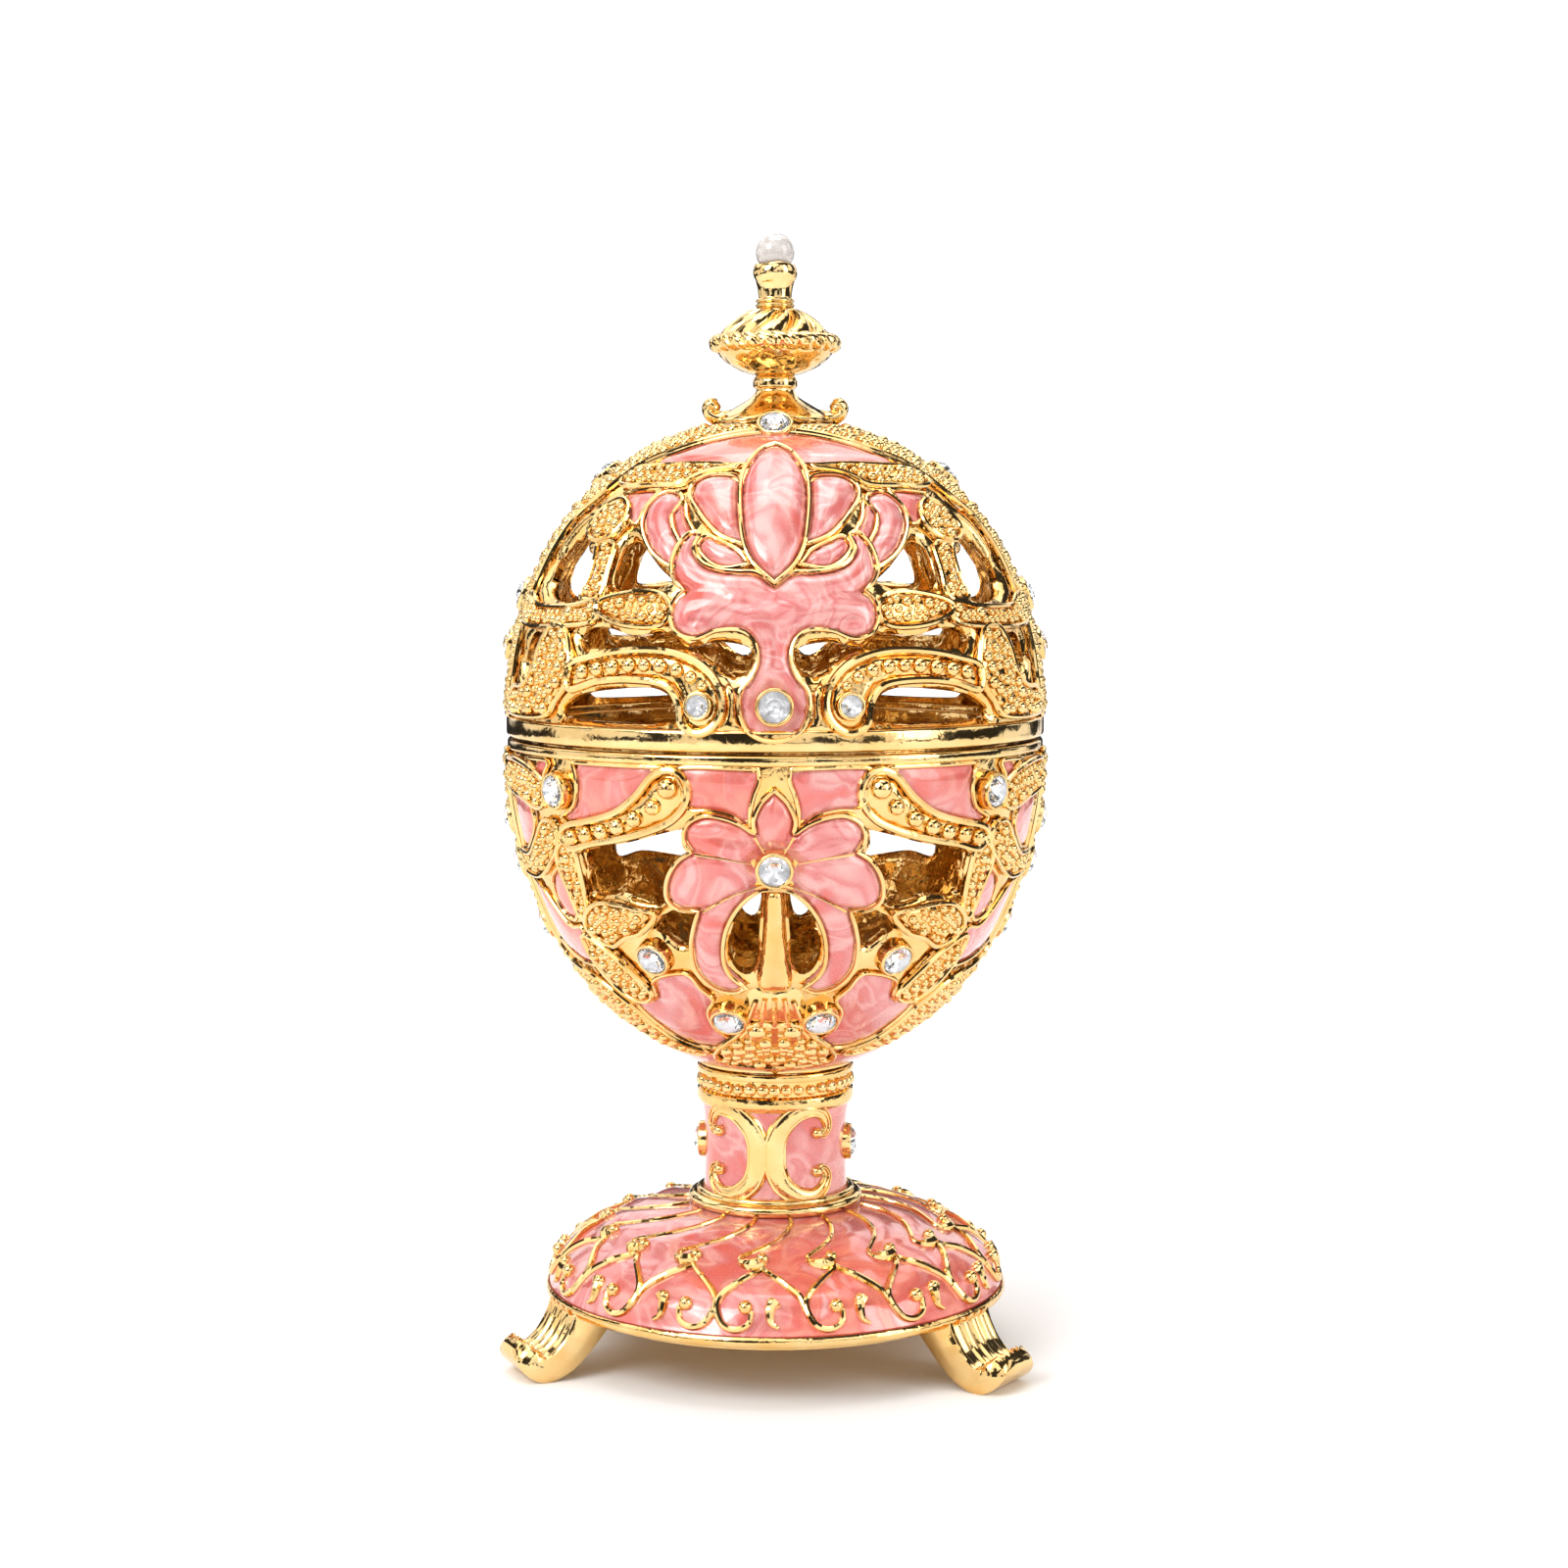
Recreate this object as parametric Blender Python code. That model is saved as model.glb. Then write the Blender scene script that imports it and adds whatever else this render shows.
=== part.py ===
# Jewelled egg trinket box: an openwork metal egg in two halves on a footed pedestal,
# with a turned finial, one pearl and clear round stones in raised settings.
# Metres, +Z up, the front towards -Y, the origin on the ground under the egg's axis.
# Places on the egg are given as (turn, rise) in degrees: turn goes round the axis from
# the front towards +X, and rise goes from the seam towards the pole of that half.

import bpy
import bmesh
from math import acos, asin, ceil, cos, degrees, hypot, pi, radians, sin
from mathutils import Matrix, Vector
from mathutils.geometry import delaunay_2d_cdt

# Driving dimensions of the egg
EGG_RADIUS = 0.0283
LID_HEIGHT = 0.0330
LID_ROUNDNESS = 2.2
BOWL_DEPTH = 0.0365
BOWL_ROUNDNESS = 2.0
WALL = 0.0018
LID_SEAT_RADIUS = 0.0057
BOWL_SEAT_RADIUS = 0.0076
SEAM_GAP = 0.0003
FIT_GAP = 0.0003

# Rim bands and the lip that keeps the lid in place
LID_RIM_HEIGHT = 0.0023
LID_RIM_STEP = 0.00035
BOWL_RIM_HEIGHT = 0.0012
BOWL_RIM_STEP = 0.00025
LIP_HEIGHT = 0.0015
LIP_THICKNESS = 0.0009
LIP_ROOT = 0.0007

# Heights of the relief over the egg's ground
PETAL_HEIGHT = 0.0006
PETAL_CROWN = 0.0005
FIELD_DEPTH = 0.0003
RELIEF_SLOPE = 0.0004

# Stones and their settings
STONE_RADIUS = 0.00155
SMALL_STONE_RADIUS = 0.00105
STONE_TABLE = 0.6
STONE_BASE = 0.96
STONE_RISE = 0.52
SETTING_EDGE = 0.00055
SETTING_HEIGHT = 0.0005
SETTING_SLOPE = 0.0003
SETTING_TO_RIM = 0.00015
SETTING_TO_SEAT = 0.0003
STONE_SIDES = 8

# Pedestal
STEM_RADIUS = 0.0077
STEM_RING_RADIUS = 0.0091
STEM_RING_HEIGHT = 0.0014
STEM_HEIGHT = 0.0096
STEM_BORE = 0.0056
COLLAR_RADIUS = 0.0085
COLLAR_HEIGHT = 0.0034
COLLAR_GROOVE = 0.0005
COLLAR_PLATE = 0.0030
FOOT_RADIUS = 0.0245
FOOT_RIM_STEP = 0.00045
FOOT_RIM_HEIGHT = 0.0013
FOOT_RISE = 0.0090
FOOT_CLEARANCE = 0.0064
FOOT_WALL = 0.0018
FLUTES = 16
FLUTE_HEIGHT = 0.0006
FLUTE_SWEEP = 17.0
PEDESTAL_TURN = -5.0

# Feet
FEET = 3
FEET_WIDTH = 0.0088
FEET_TIP_WIDTH = 0.0074
FEET_THICKNESS = 0.0017
FEET_REACH = 0.0305
FEET_PAD_LENGTH = 0.0026
FEET_ROOT_RISE = 0.0022
FEET_ROOT_STEP = 0.0006
FEET_KNEE = 0.0018
REEDS = 4
REED_HEIGHT = 0.00045

# Finial and pearl
FINIAL_HEIGHT = 0.0170
FINIAL_SKIRT_RADIUS = 0.0053
FINIAL_DISC_RADIUS = 0.0069
FINIAL_NECK_RADIUS = 0.0018
FINIAL_RING_STEP = 0.0005
FINIAL_LOBES = 10
FINIAL_LOBE_HEIGHT = 0.0004
FINIAL_SWIRL = 8.0
CURL_REACH = 0.0077
CURL_RADIUS = 0.00062
PEARL_RADIUS = 0.00205
PEARL_SEAT = 0.0011
CUP_EDGE = 0.0003

# Fineness of the faceted surfaces
RIM_ANGLE = 11.25
POLE_ANGLE = 18.0
OUTER_GRID = (15.0, 13.0)
INNER_GRID = (23.0, 20.0)
STEM_ANGLE = 18.0
STEM_GRID = (24.0, 0.6)
GRID_SPACING = 0.62
BORE_SIDES = 20
PEARL_SIDES = 10
CURL_SIDES = 6
SHARP_ANGLE = 35.0
QUARTER = 90.0

# Heights that follow from the sizes above
FOOT_TOP = FOOT_CLEARANCE + FOOT_RIM_HEIGHT + FOOT_RISE
STEM_FOOT = FOOT_TOP + STEM_RING_HEIGHT
COLLAR_FOOT = STEM_FOOT + STEM_HEIGHT
COLLAR_TOP = COLLAR_FOOT + COLLAR_HEIGHT


def pole_rise(radius, roundness):
    """Rise in degrees at which an egg half has shrunk to the given radius."""
    return degrees(acos((radius / EGG_RADIUS) ** (roundness / 2)))


def rim_rise(height, half_height, roundness):
    """Rise in degrees at which an egg half has reached the given height over the seam."""
    return degrees(asin((height / half_height) ** (roundness / 2)))


SETTING_REACH = STONE_RADIUS + SETTING_EDGE
CROWN_STONE_RISE = pole_rise(LID_SEAT_RADIUS + SETTING_REACH + SETTING_TO_SEAT, LID_ROUNDNESS)
LID_FLOWER_RISE = rim_rise(LID_RIM_HEIGHT + SETTING_REACH + SETTING_TO_RIM, LID_HEIGHT, LID_ROUNDNESS)
LID_TOP_RISE = pole_rise(LID_SEAT_RADIUS, LID_ROUNDNESS)
BOWL_TOP_RISE = pole_rise(BOWL_SEAT_RADIUS, BOWL_ROUNDNESS)
SEAM_Z = COLLAR_TOP + FIT_GAP + BOWL_DEPTH * sin(radians(BOWL_TOP_RISE)) ** (2 / BOWL_ROUNDNESS)


def egg_point(turn, rise, level, side):
    """Point on one half of the egg; side is +1 for the lid and -1 for the bowl."""
    height, roundness = (LID_HEIGHT, LID_ROUNDNESS) if side > 0 else (BOWL_DEPTH, BOWL_ROUNDNESS)
    c, s = cos(radians(rise)), sin(radians(rise))
    radius = EGG_RADIUS * c ** (2 / roundness)
    z = height * s ** (2 / roundness)
    across = (radius / EGG_RADIUS) ** (roundness - 1) / EGG_RADIUS
    along = (z / height) ** (roundness - 1) / height
    length = hypot(across, along)
    radius += level * across / length
    z += level * along / length
    return polar(radius, turn, SEAM_Z + side * z)


def polar(radius, turn, z):
    return Vector((radius * sin(radians(turn)), -radius * cos(radians(turn)), z))


def millimetre_scale(rise, side, turn=30.0):
    """Metres on the egg for one degree of turn and for one degree of rise."""
    here = egg_point(turn, rise, 0, side)
    beside = egg_point(turn + 0.5, rise, 0, side)
    above = egg_point(turn, rise + 0.5, 0, side)
    return (beside - here).length * 2, (above - here).length * 2


# Outlines on the lid, for the quarter from the front centre to the side
LID_PETALS = {
    "centre": [(0, 28), (4, 31), (7.3, 38), (9, 47), (8.3, 56), (4.5, 62), (0, 64)],
    "second": [(8.6, 34), (15, 38.3), (21, 43.3), (25, 48.5), (22, 52.7), (13.5, 53), (11, 45)],
    "outer": [
        (23.6, 30.6), (30, 33.8), (36, 40), (36.8, 45.5), (32.5, 48.6), (27.3, 46.4), (27.4, 41.4), (24, 36.6),
    ],
    "curled": [(7.6, 29), (12.5, 34.8), (18, 37.8), (22, 36.2), (22.6, 30.6), (18.5, 26.9), (12, 26.6)],
}
LID_FLOWER_BODY = [
    (0, 26), (6, 24.4), (12, 25.3), (17.5, 25.2), (20.6, 21.5), (18.5, 17.9), (12, 18.9), (6.5, 19.6),
    (3.6, 17), (3.2, 13.6), (6, 10), (6.4, 6.5), (4.3, 4.1), (0, 3.7),
]
LID_FIELDS = {
    "crescent": [
        (0, 70), (14, 71.2), (28, 69), (42, 64.6), (56, 58), (40, 58), (22, 58), (10.6, 58.4), (6, 64.5), (0, 66.2),
    ],
    "corner": [(38.6, 48.8), (47, 48.4), (42.2, 42.6), (39.2, 43.8)],
}
LID_WINDOWS = {
    "side": [
        (48.5, 29), (49.5, 34.6), (55.5, 35.5), (57.5, 42), (61.5, 44.2), (68, 39.5), (70.5, 33), (68.5, 27.5),
        (61, 23.6), (51.5, 24.2),
    ],
    "upper": [(23.6, 27.6), (28.5, 32.2), (34.5, 36.2), (39, 34.6), (40.2, 28), (35.5, 26.2), (28, 26.6)],
    "middle": [
        (4.6, 17.6), (12, 18.2), (18.8, 16.7), (24, 19.3), (32, 18.8), (39.6, 21), (40.4, 16.6), (32, 15.5),
        (22, 15.8), (14.4, 14), (10.2, 10.8), (6.8, 10.4), (4.3, 13.6),
    ],
    "low": [(19.6, 4.4), (20.6, 7.4), (26, 9.6), (37, 9.3), (46, 7.4), (50, 4.4)],
    "small": [(60.4, 16.4), (66, 18.1), (71.4, 13.6), (68.6, 9.8), (62.6, 11)],
}

# Outlines on the bowl, with the rise counted downwards from the seam
BOWL_PETALS = {
    "top": [(0, 6.2), (2.9, 7.8), (3.6, 10.8), (0, 13)],
    "upper": [(5.6, 13), (9.5, 10.8), (16, 10.8), (17.6, 13), (14, 15.4)],
    "lower": [(6.4, 17.2), (14.5, 17.5), (21.5, 20.8), (21.4, 24.3), (16.5, 24), (9.5, 20.4)],
    "hanging": [(6, 21), (14, 26.4), (18.8, 32), (17.8, 38.2), (11.6, 40.4), (12.8, 35), (11.2, 28)],
}
BOWL_TONGUE = [(0, 22.6), (1.7, 23.4), (2.6, 31), (3.8, 38.8), (0, 40.6)]
BOWL_FAN = [(0, 43.4), (6.2, 44), (6.4, 53), (15, 58), (25.5, 64.2), (22, 69.4), (0, 70.4)]
BOWL_FIELDS = {
    "rim inner": [(5.4, 3.4), (16, 3.4), (16, 8.4), (9, 8.8), (5.8, 9)],
    "rim outer": [(27.4, 3.4), (43.5, 3.4), (44.2, 9.6), (36.5, 9), (30, 6.6)],
    "lower": [(23, 41), (35, 45.8), (48, 49), (42.5, 55), (30, 58.4), (20.5, 55.6), (22.4, 48)],
    "side": [(56.6, 31.6), (72, 26), (80, 27), (80, 35.5), (64, 38)],
    "foot": [(34, 64.6), (55, 61), (72, 55.6), (90, 53), (90, 70), (60, 70.4), (36, 70.4)],
}
BOWL_WINDOWS = {
    "upper": [
        (19.2, 12.4), (25, 13.4), (32, 14.9), (40, 16.2), (45.8, 17.4), (45.4, 24), (39, 23.6), (32, 24.6),
        (26, 24.6), (23.2, 19.8), (18.4, 16.2),
    ],
    "lower": [(17.2, 25.8), (25.4, 26), (28.4, 28.6), (23, 30.4), (19, 28.4)],
    "slot": [(3, 22.2), (6.4, 24), (10.6, 31), (10.8, 36.6), (8, 38.4), (5.2, 36.8), (4.2, 30)],
}

# Stone places as (name, turn, rise, radius); each is repeated round the egg by symmetry
LID_STONES = [
    ("crown_stone", 0, CROWN_STONE_RISE, STONE_RADIUS),
    ("flower_stone", 0, LID_FLOWER_RISE, STONE_RADIUS),
    ("arm_stone", 15, 6.6, SMALL_STONE_RADIUS),
    ("side_stone_high", 90, 54, STONE_RADIUS),
    ("side_stone_middle", 90, 24.5, STONE_RADIUS),
    ("side_stone_low", 90, 15, STONE_RADIUS),
]
BOWL_STONES = [
    ("flower_stone", 0, 18, STONE_RADIUS),
    ("knot_stone", 50.5, 6.9, STONE_RADIUS),
    ("panel_stone", 31, 35, STONE_RADIUS),
    ("fan_stone", 14, 48.6, STONE_RADIUS),
    ("side_stone_high", 90, 13.6, STONE_RADIUS),
    ("side_stone_middle", 90, 21.4, STONE_RADIUS),
    ("side_stone_low", 90, 33, STONE_RADIUS),
]

# The scroll on the stem, one of a pair that turn their backs to each other:
# its outline as (turn, share of the stem's height)
STEM_SCROLL = [
    (2.5, 0.5), (9, 0.2), (23, 0.07), (40, 0.07), (50, 0.3), (42, 0.3), (37, 0.19), (26, 0.2), (16, 0.32),
    (13, 0.5), (16, 0.68), (26, 0.8), (37, 0.81), (42, 0.7), (50, 0.7), (40, 0.93), (23, 0.93), (9, 0.8),
]
STEM_STONE_SHARE = 0.47

# Turned profiles: shares of the named radius and height of what they belong to
DOME_SHAPE = [(0.36, 1.0), (0.53, 0.91), (0.69, 0.77), (0.84, 0.56), (0.945, 0.3), (1.0, 0.03)]


def clear_scene():
    for item in list(bpy.data.objects):
        bpy.data.objects.remove(item, do_unlink=True)


def make_material(name, colour, roughness, metallic, transmission=0.0):
    material = bpy.data.materials.new(name)
    material.use_nodes = True
    shader = material.node_tree.nodes["Principled BSDF"]
    shader.inputs["Base Color"].default_value = (*colour, 1.0)
    shader.inputs["Roughness"].default_value = roughness
    shader.inputs["Metallic"].default_value = metallic
    shader.inputs["Transmission Weight"].default_value = transmission
    return material


def add_object(name, mesh, material, smooth_angle=SHARP_ANGLE):
    mesh.materials.clear()
    mesh.materials.append(material)
    mesh.shade_smooth()
    mesh.set_sharp_from_angle(angle=radians(smooth_angle))
    item = bpy.data.objects.new(name, mesh)
    bpy.context.collection.objects.link(item)
    return item


def mesh_from_bmesh(name, bm):
    bmesh.ops.triangulate(bm, faces=bm.faces)
    bmesh.ops.recalc_face_normals(bm, faces=bm.faces)
    mesh = bpy.data.meshes.new(name)
    bm.to_mesh(mesh)
    bm.free()
    return mesh


def apply_boolean(item, other, operation):
    """Join or cut one mesh with another and keep the result as the first one's mesh."""
    modifier = item.modifiers.new(operation, "BOOLEAN")
    modifier.operation = operation
    modifier.object = other
    bpy.context.view_layer.update()
    graph = bpy.context.evaluated_depsgraph_get()
    mesh = bpy.data.meshes.new_from_object(item.evaluated_get(graph))
    item.modifiers.clear()
    item.data = mesh
    bpy.data.objects.remove(other, do_unlink=True)


def inset(points, distance, scale):
    """A closed outline moved inwards by a distance in metres; scale is metres per degree."""
    flat = [Vector((u * scale[0], v * scale[1])) for u, v in points]
    count = len(flat)
    area = sum(flat[i - 1].cross(flat[i]) for i in range(count))
    turn = 1 if area > 0 else -1
    moved = []
    for i, point in enumerate(flat):
        before = (point - flat[i - 1]).normalized()
        after = (flat[(i + 1) % count] - point).normalized()
        normals = [Vector((-d.y, d.x)) * turn for d in (before, after)]
        middle = (normals[0] + normals[1]).normalized()
        reach = distance / max(middle.dot(normals[0]), 0.5)
        moved.append(point + middle * reach)
    return [(p.x / scale[0], p.y / scale[1]) for p in moved]


def unfold(points, axis):
    """The whole outline of a shape whose half is given, with its ends on the axis."""
    mirrored = [(2 * axis - u, v) for u, v in reversed(points) if abs(u - axis) > 1e-6]
    return list(points) + mirrored


def half(points, axis):
    """The part of a symmetric outline that lies in the quarter, with its ends on the axis."""
    inward = 1 if axis < QUARTER / 2 else -1
    kept = [(axis if abs(u - axis) < 1e-4 else u, v) for u, v in points]
    kept = [p for p in kept if (p[0] - axis) * inward >= 0]
    ends = [i for i, p in enumerate(kept) if p[0] == axis]
    if len(ends) == 2 and ends[1] - ends[0] == 1:
        kept = kept[ends[1]:] + kept[:ends[1]]
    return kept


def on_axis(points):
    """The symmetry line that an outline touches, or None."""
    for axis in (0.0, QUARTER):
        if sum(abs(u - axis) < 1e-6 for u, _ in points) >= 2:
            return axis
    return None


def circle(centre, radius, scale, sides=STONE_SIDES):
    steps = [2 * pi * i / sides + pi / 2 for i in range(sides)]
    return [(centre[0] + radius / scale[0] * cos(a), centre[1] + radius / scale[1] * sin(a)) for a in steps]


def inside(point, outline):
    """Whether a point lies within a closed outline."""
    u, v = point
    crossings = 0
    for (u1, v1), (u2, v2) in zip(outline, outline[1:] + outline[:1]):
        if (v1 > v) != (v2 > v) and u < u1 + (v - v1) * (u2 - u1) / (v2 - v1):
            crossings += 1
    return crossings % 2 == 1


class Panel:
    """The layout of one quarter: lines with their heights, and the openings."""

    def __init__(self, low, high, low_step, high_step):
        self.low, self.high = low, high
        self.places, self.lines, self.openings = {}, [], []
        self.low_turns = self.steps(low_step)
        for turn in self.low_turns:
            self.places[(turn, low)] = 0.0
        for turn in self.steps(high_step):
            self.places[(turn, high)] = 0.0
        self.high_turns = self.steps(high_step)

    @staticmethod
    def steps(step):
        count = ceil(QUARTER / step)
        return [QUARTER * i / count for i in range(count + 1)]

    def add_line(self, points, level, closed):
        points = [(round(u, 6), round(v, 6)) for u, v in points]
        for point in points:
            self.places.setdefault(point, level)
        pairs = list(zip(points, points[1:]))
        if closed:
            pairs.append((points[-1], points[0]))
        self.lines += pairs

    def add_pad(self, points, height, scale, slope=RELIEF_SLOPE, crown=()):
        """A raised or sunk shape: its outline on the ground and a smaller one at its height."""
        axis = on_axis(points)
        whole = unfold(points, axis) if axis is not None else list(points)
        inner = inset(whole, slope, scale)
        if axis is not None:
            whole, inner = half(whole, axis), half(inner, axis)
        self.add_line(whole, 0.0, axis is None)
        self.add_line(inner, height, axis is None)
        for u, v, extra in crown:
            self.places[(u, v)] = height + extra

    def add_setting(self, centre, radius, scale):
        axis = centre[0] if centre[0] in (0, QUARTER) else None
        reach = radius + SETTING_EDGE
        for reach, level in ((reach, 0.0), (reach - SETTING_SLOPE, SETTING_HEIGHT)):
            ring = circle(centre, reach, scale)
            self.add_line(half(ring, axis) if axis is not None else ring, level, axis is None)

    def add_opening(self, points):
        points = [(round(u, 6), round(v, 6)) for u, v in points]
        self.openings.append(points)
        self.add_line(points, 0.0, True)

    def add_grid(self, grid):
        """Extra points where the layout leaves wide gaps, so that the surface stays round."""
        columns = ceil(QUARTER / grid[0])
        rows = ceil((self.high - self.low) / grid[1])
        taken = list(self.places)
        for i in range(columns + 1):
            for j in range(1, rows):
                rise = self.low + (self.high - self.low) * j / rows
                point = (round(QUARTER * i / columns, 6), round(rise, 6))
                nearest = min(hypot((u - point[0]) / grid[0], (v - point[1]) / grid[1]) for u, v in taken)
                if nearest > GRID_SPACING and not any(inside(point, hole) for hole in self.openings):
                    self.places[point] = 0.0

    def triangles(self):
        """Corners as (turn, rise, level) and triangles, without those in the openings."""
        points = list(self.places)
        index = {point: i for i, point in enumerate(points)}
        edges = [(index[a], index[b]) for a, b in self.lines]
        found = delaunay_2d_cdt([Vector(p) for p in points], edges, [], 0, 1e-6)
        corners = []
        for place, origins in zip(found[0], found[3]):
            point = points[origins[0]] if origins else (place.x, place.y)
            corners.append((*point, self.places[point] if origins else 0.0))
        kept = []
        for face in found[2]:
            middle = (sum(corners[i][0] for i in face) / 3, sum(corners[i][1] for i in face) / 3)
            if not any(inside(middle, hole) for hole in self.openings):
                kept.append(face)
        return corners, kept


class Shell:
    """A closed shell put together from quarters that are turned and mirrored round the axis."""

    def __init__(self, surface):
        self.surface = surface
        self.bm = bmesh.new()
        self.corners = {}

    def corner(self, layer, turn, rise, level):
        key = (layer, round(turn % 360, 4) % 360, round(rise, 4))
        if key not in self.corners:
            self.corners[key] = self.bm.verts.new(self.surface(turn, rise, level))
        return self.corners[key]

    def quarters(self, turn):
        return (turn, -turn, 180 - turn, 180 + turn)

    def add_skin(self, layer, panel, depth=0.0):
        corners, faces = panel.triangles()
        for quarter in range(4):
            for face in faces:
                ring = [self.corner(layer, self.quarters(corners[i][0])[quarter], corners[i][1],
                                    corners[i][2] - depth) for i in face]
                self.bm.faces.new(ring)

    def add_opening_walls(self, panel):
        for outline in panel.openings:
            for a, b in zip(outline, outline[1:] + outline[:1]):
                for quarter in range(4):
                    ends = [(self.quarters(u)[quarter], v) for u, v in (a, b)]
                    ring = [self.find("outer", ends[0]), self.find("outer", ends[1]),
                            self.find("inner", ends[1]), self.find("inner", ends[0])]
                    self.bm.faces.new(ring)

    def find(self, layer, place):
        return self.corners[(layer, round(place[0] % 360, 4) % 360, round(place[1], 4))]

    def ring_turns(self, turns):
        every = {round(t % 360, 4) % 360 for turn in turns for t in self.quarters(turn)}
        return sorted(every)

    def add_rim(self, panel, profile):
        """Rows of faces from the outer skin's edge along a profile to the inner skin's edge."""
        turns = self.ring_turns(panel.low_turns)
        rows = []
        for turn in turns:
            middle = [self.bm.verts.new(polar(radius, turn, z)) for radius, z in profile]
            ends = [self.find(layer, (turn, panel.low)) for layer in ("outer", "inner")]
            rows.append([ends[0], *middle, ends[1]])
        for row, following in zip(rows, rows[1:] + rows[:1]):
            for k in range(len(row) - 1):
                self.bm.faces.new([row[k], following[k], following[k + 1], row[k + 1]])

    def add_turned_end(self, turns, edge, profile):
        """Rows from the skin's edge along a profile, closed with a flat end."""
        rows = []
        for turn in self.ring_turns(turns):
            middle = [self.bm.verts.new(polar(radius, turn + PEDESTAL_TURN, z)) for radius, z in profile]
            rows.append([self.find("outer", (turn, edge)), *middle])
        for row, following in zip(rows, rows[1:] + rows[:1]):
            for k in range(len(row) - 1):
                self.bm.faces.new([row[k], following[k], following[k + 1], row[k + 1]])
        self.bm.faces.new([row[-1] for row in rows])

    def add_cap(self, layer, panel):
        turns = self.ring_turns(panel.high_turns)
        self.bm.faces.new([self.find(layer, (turn, panel.high)) for turn in turns])


def build_half(name, side, petals, fields, windows, solids, stones, material, rim, profile):
    """One half of the egg as a closed openwork shell with its relief."""
    height = LID_HEIGHT if side > 0 else BOWL_DEPTH
    roundness = LID_ROUNDNESS if side > 0 else BOWL_ROUNDNESS
    high = LID_TOP_RISE if side > 0 else BOWL_TOP_RISE
    low = rim_rise(rim, height, roundness)
    panel = Panel(low, high, RIM_ANGLE, POLE_ANGLE)
    backing = Panel(low, high, RIM_ANGLE, POLE_ANGLE)
    for outline in windows.values():
        panel.add_opening(outline)
        backing.add_opening(outline)
    for outline in petals.values():
        middle = (sum(u for u, _ in outline) / len(outline), sum(v for _, v in outline) / len(outline))
        if on_axis(outline) is not None:
            middle = (0.0, middle[1])
        panel.add_pad(outline, PETAL_HEIGHT, millimetre_scale(middle[1], side),
                      crown=[(round(middle[0], 3), round(middle[1], 3), PETAL_CROWN)])
    for outline in solids:
        panel.add_pad(outline, PETAL_HEIGHT, millimetre_scale(outline[len(outline) // 2][1], side))
    for outline in fields.values():
        middle = sum(v for _, v in outline) / len(outline)
        panel.add_pad(outline, -FIELD_DEPTH, millimetre_scale(middle, side))
    for _, turn, rise, radius in stones:
        panel.add_setting((turn, rise), radius, millimetre_scale(rise, side))
    panel.add_grid(OUTER_GRID)
    backing.add_grid(INNER_GRID)
    shell = Shell(lambda turn, rise, level: egg_point(turn, rise, level, side))
    shell.add_skin("outer", panel)
    shell.add_skin("inner", backing, WALL)
    shell.add_opening_walls(panel)
    shell.add_rim(panel, profile)
    shell.add_cap("outer", panel)
    shell.add_cap("inner", panel)
    return add_object(name, mesh_from_bmesh(name, shell.bm), material)


def turned(name, profile, sides, lobe=None):
    """A closed turned body; lobe may move a corner, and gives its radius, turn and height."""
    bm = bmesh.new()
    rows = []
    for row, (radius, z) in enumerate(profile):
        if radius < 1e-6:
            rows.append([bm.verts.new((0, 0, z))] * sides)
            continue
        ring = []
        for step in range(sides):
            turn = 360 * step / sides
            place = lobe(step, row, radius, z, turn) if lobe else (radius, turn, z)
            ring.append(bm.verts.new(polar(*place)))
        rows.append(ring)
    for lower, upper in zip(rows, rows[1:]):
        for i in range(sides):
            j = (i + 1) % sides
            ring = [lower[i], lower[j], upper[j], upper[i]]
            bm.faces.new(list(dict.fromkeys(ring)))
    for ring in (rows[0], rows[-1]):
        if ring[0] is not ring[1]:
            bm.faces.new(ring)
    return mesh_from_bmesh(name, bm)


def swept(name, stations):
    """A closed body through rings of points, one ring for each station."""
    bm = bmesh.new()
    rings = [[bm.verts.new(point) for point in station] for station in stations]
    count = len(rings[0])
    for near, far in zip(rings, rings[1:]):
        for i in range(count):
            j = (i + 1) % count
            bm.faces.new([near[i], near[j], far[j], far[i]])
    bm.faces.new(rings[0])
    bm.faces.new(rings[-1])
    return mesh_from_bmesh(name, bm)


def dome_point(share):
    radius, rise = share
    return FOOT_RADIUS * radius, FOOT_CLEARANCE + FOOT_RIM_HEIGHT + FOOT_RISE * rise


def foot_dome(material):
    """The domed foot: swept ridges run out from the stem and part into pointed arches at the rim."""
    raised = {1: (0,), 2: (0,), 3: (1, 3), 4: (2,)}
    rim = FOOT_RADIUS + FOOT_RIM_STEP
    profile = [dome_point(share) for share in DOME_SHAPE]
    profile += [(rim, FOOT_CLEARANCE + FOOT_RIM_HEIGHT), (rim, FOOT_CLEARANCE)]

    def ridge(step, row, radius, z, turn):
        swing = FLUTE_SWEEP * (1 - min(row, 2) / 2)
        lift = FLUTE_HEIGHT if step % 4 in raised.get(row, ()) else 0.0
        return radius + lift * 0.4, turn + PEDESTAL_TURN + swing, z + lift

    return add_object("pedestal", turned("pedestal", profile[::-1], FLUTES * 4, ridge), material)


def stem_point(turn, share, level):
    return polar(STEM_RADIUS + level, turn + PEDESTAL_TURN, STEM_FOOT + STEM_HEIGHT * share)


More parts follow.
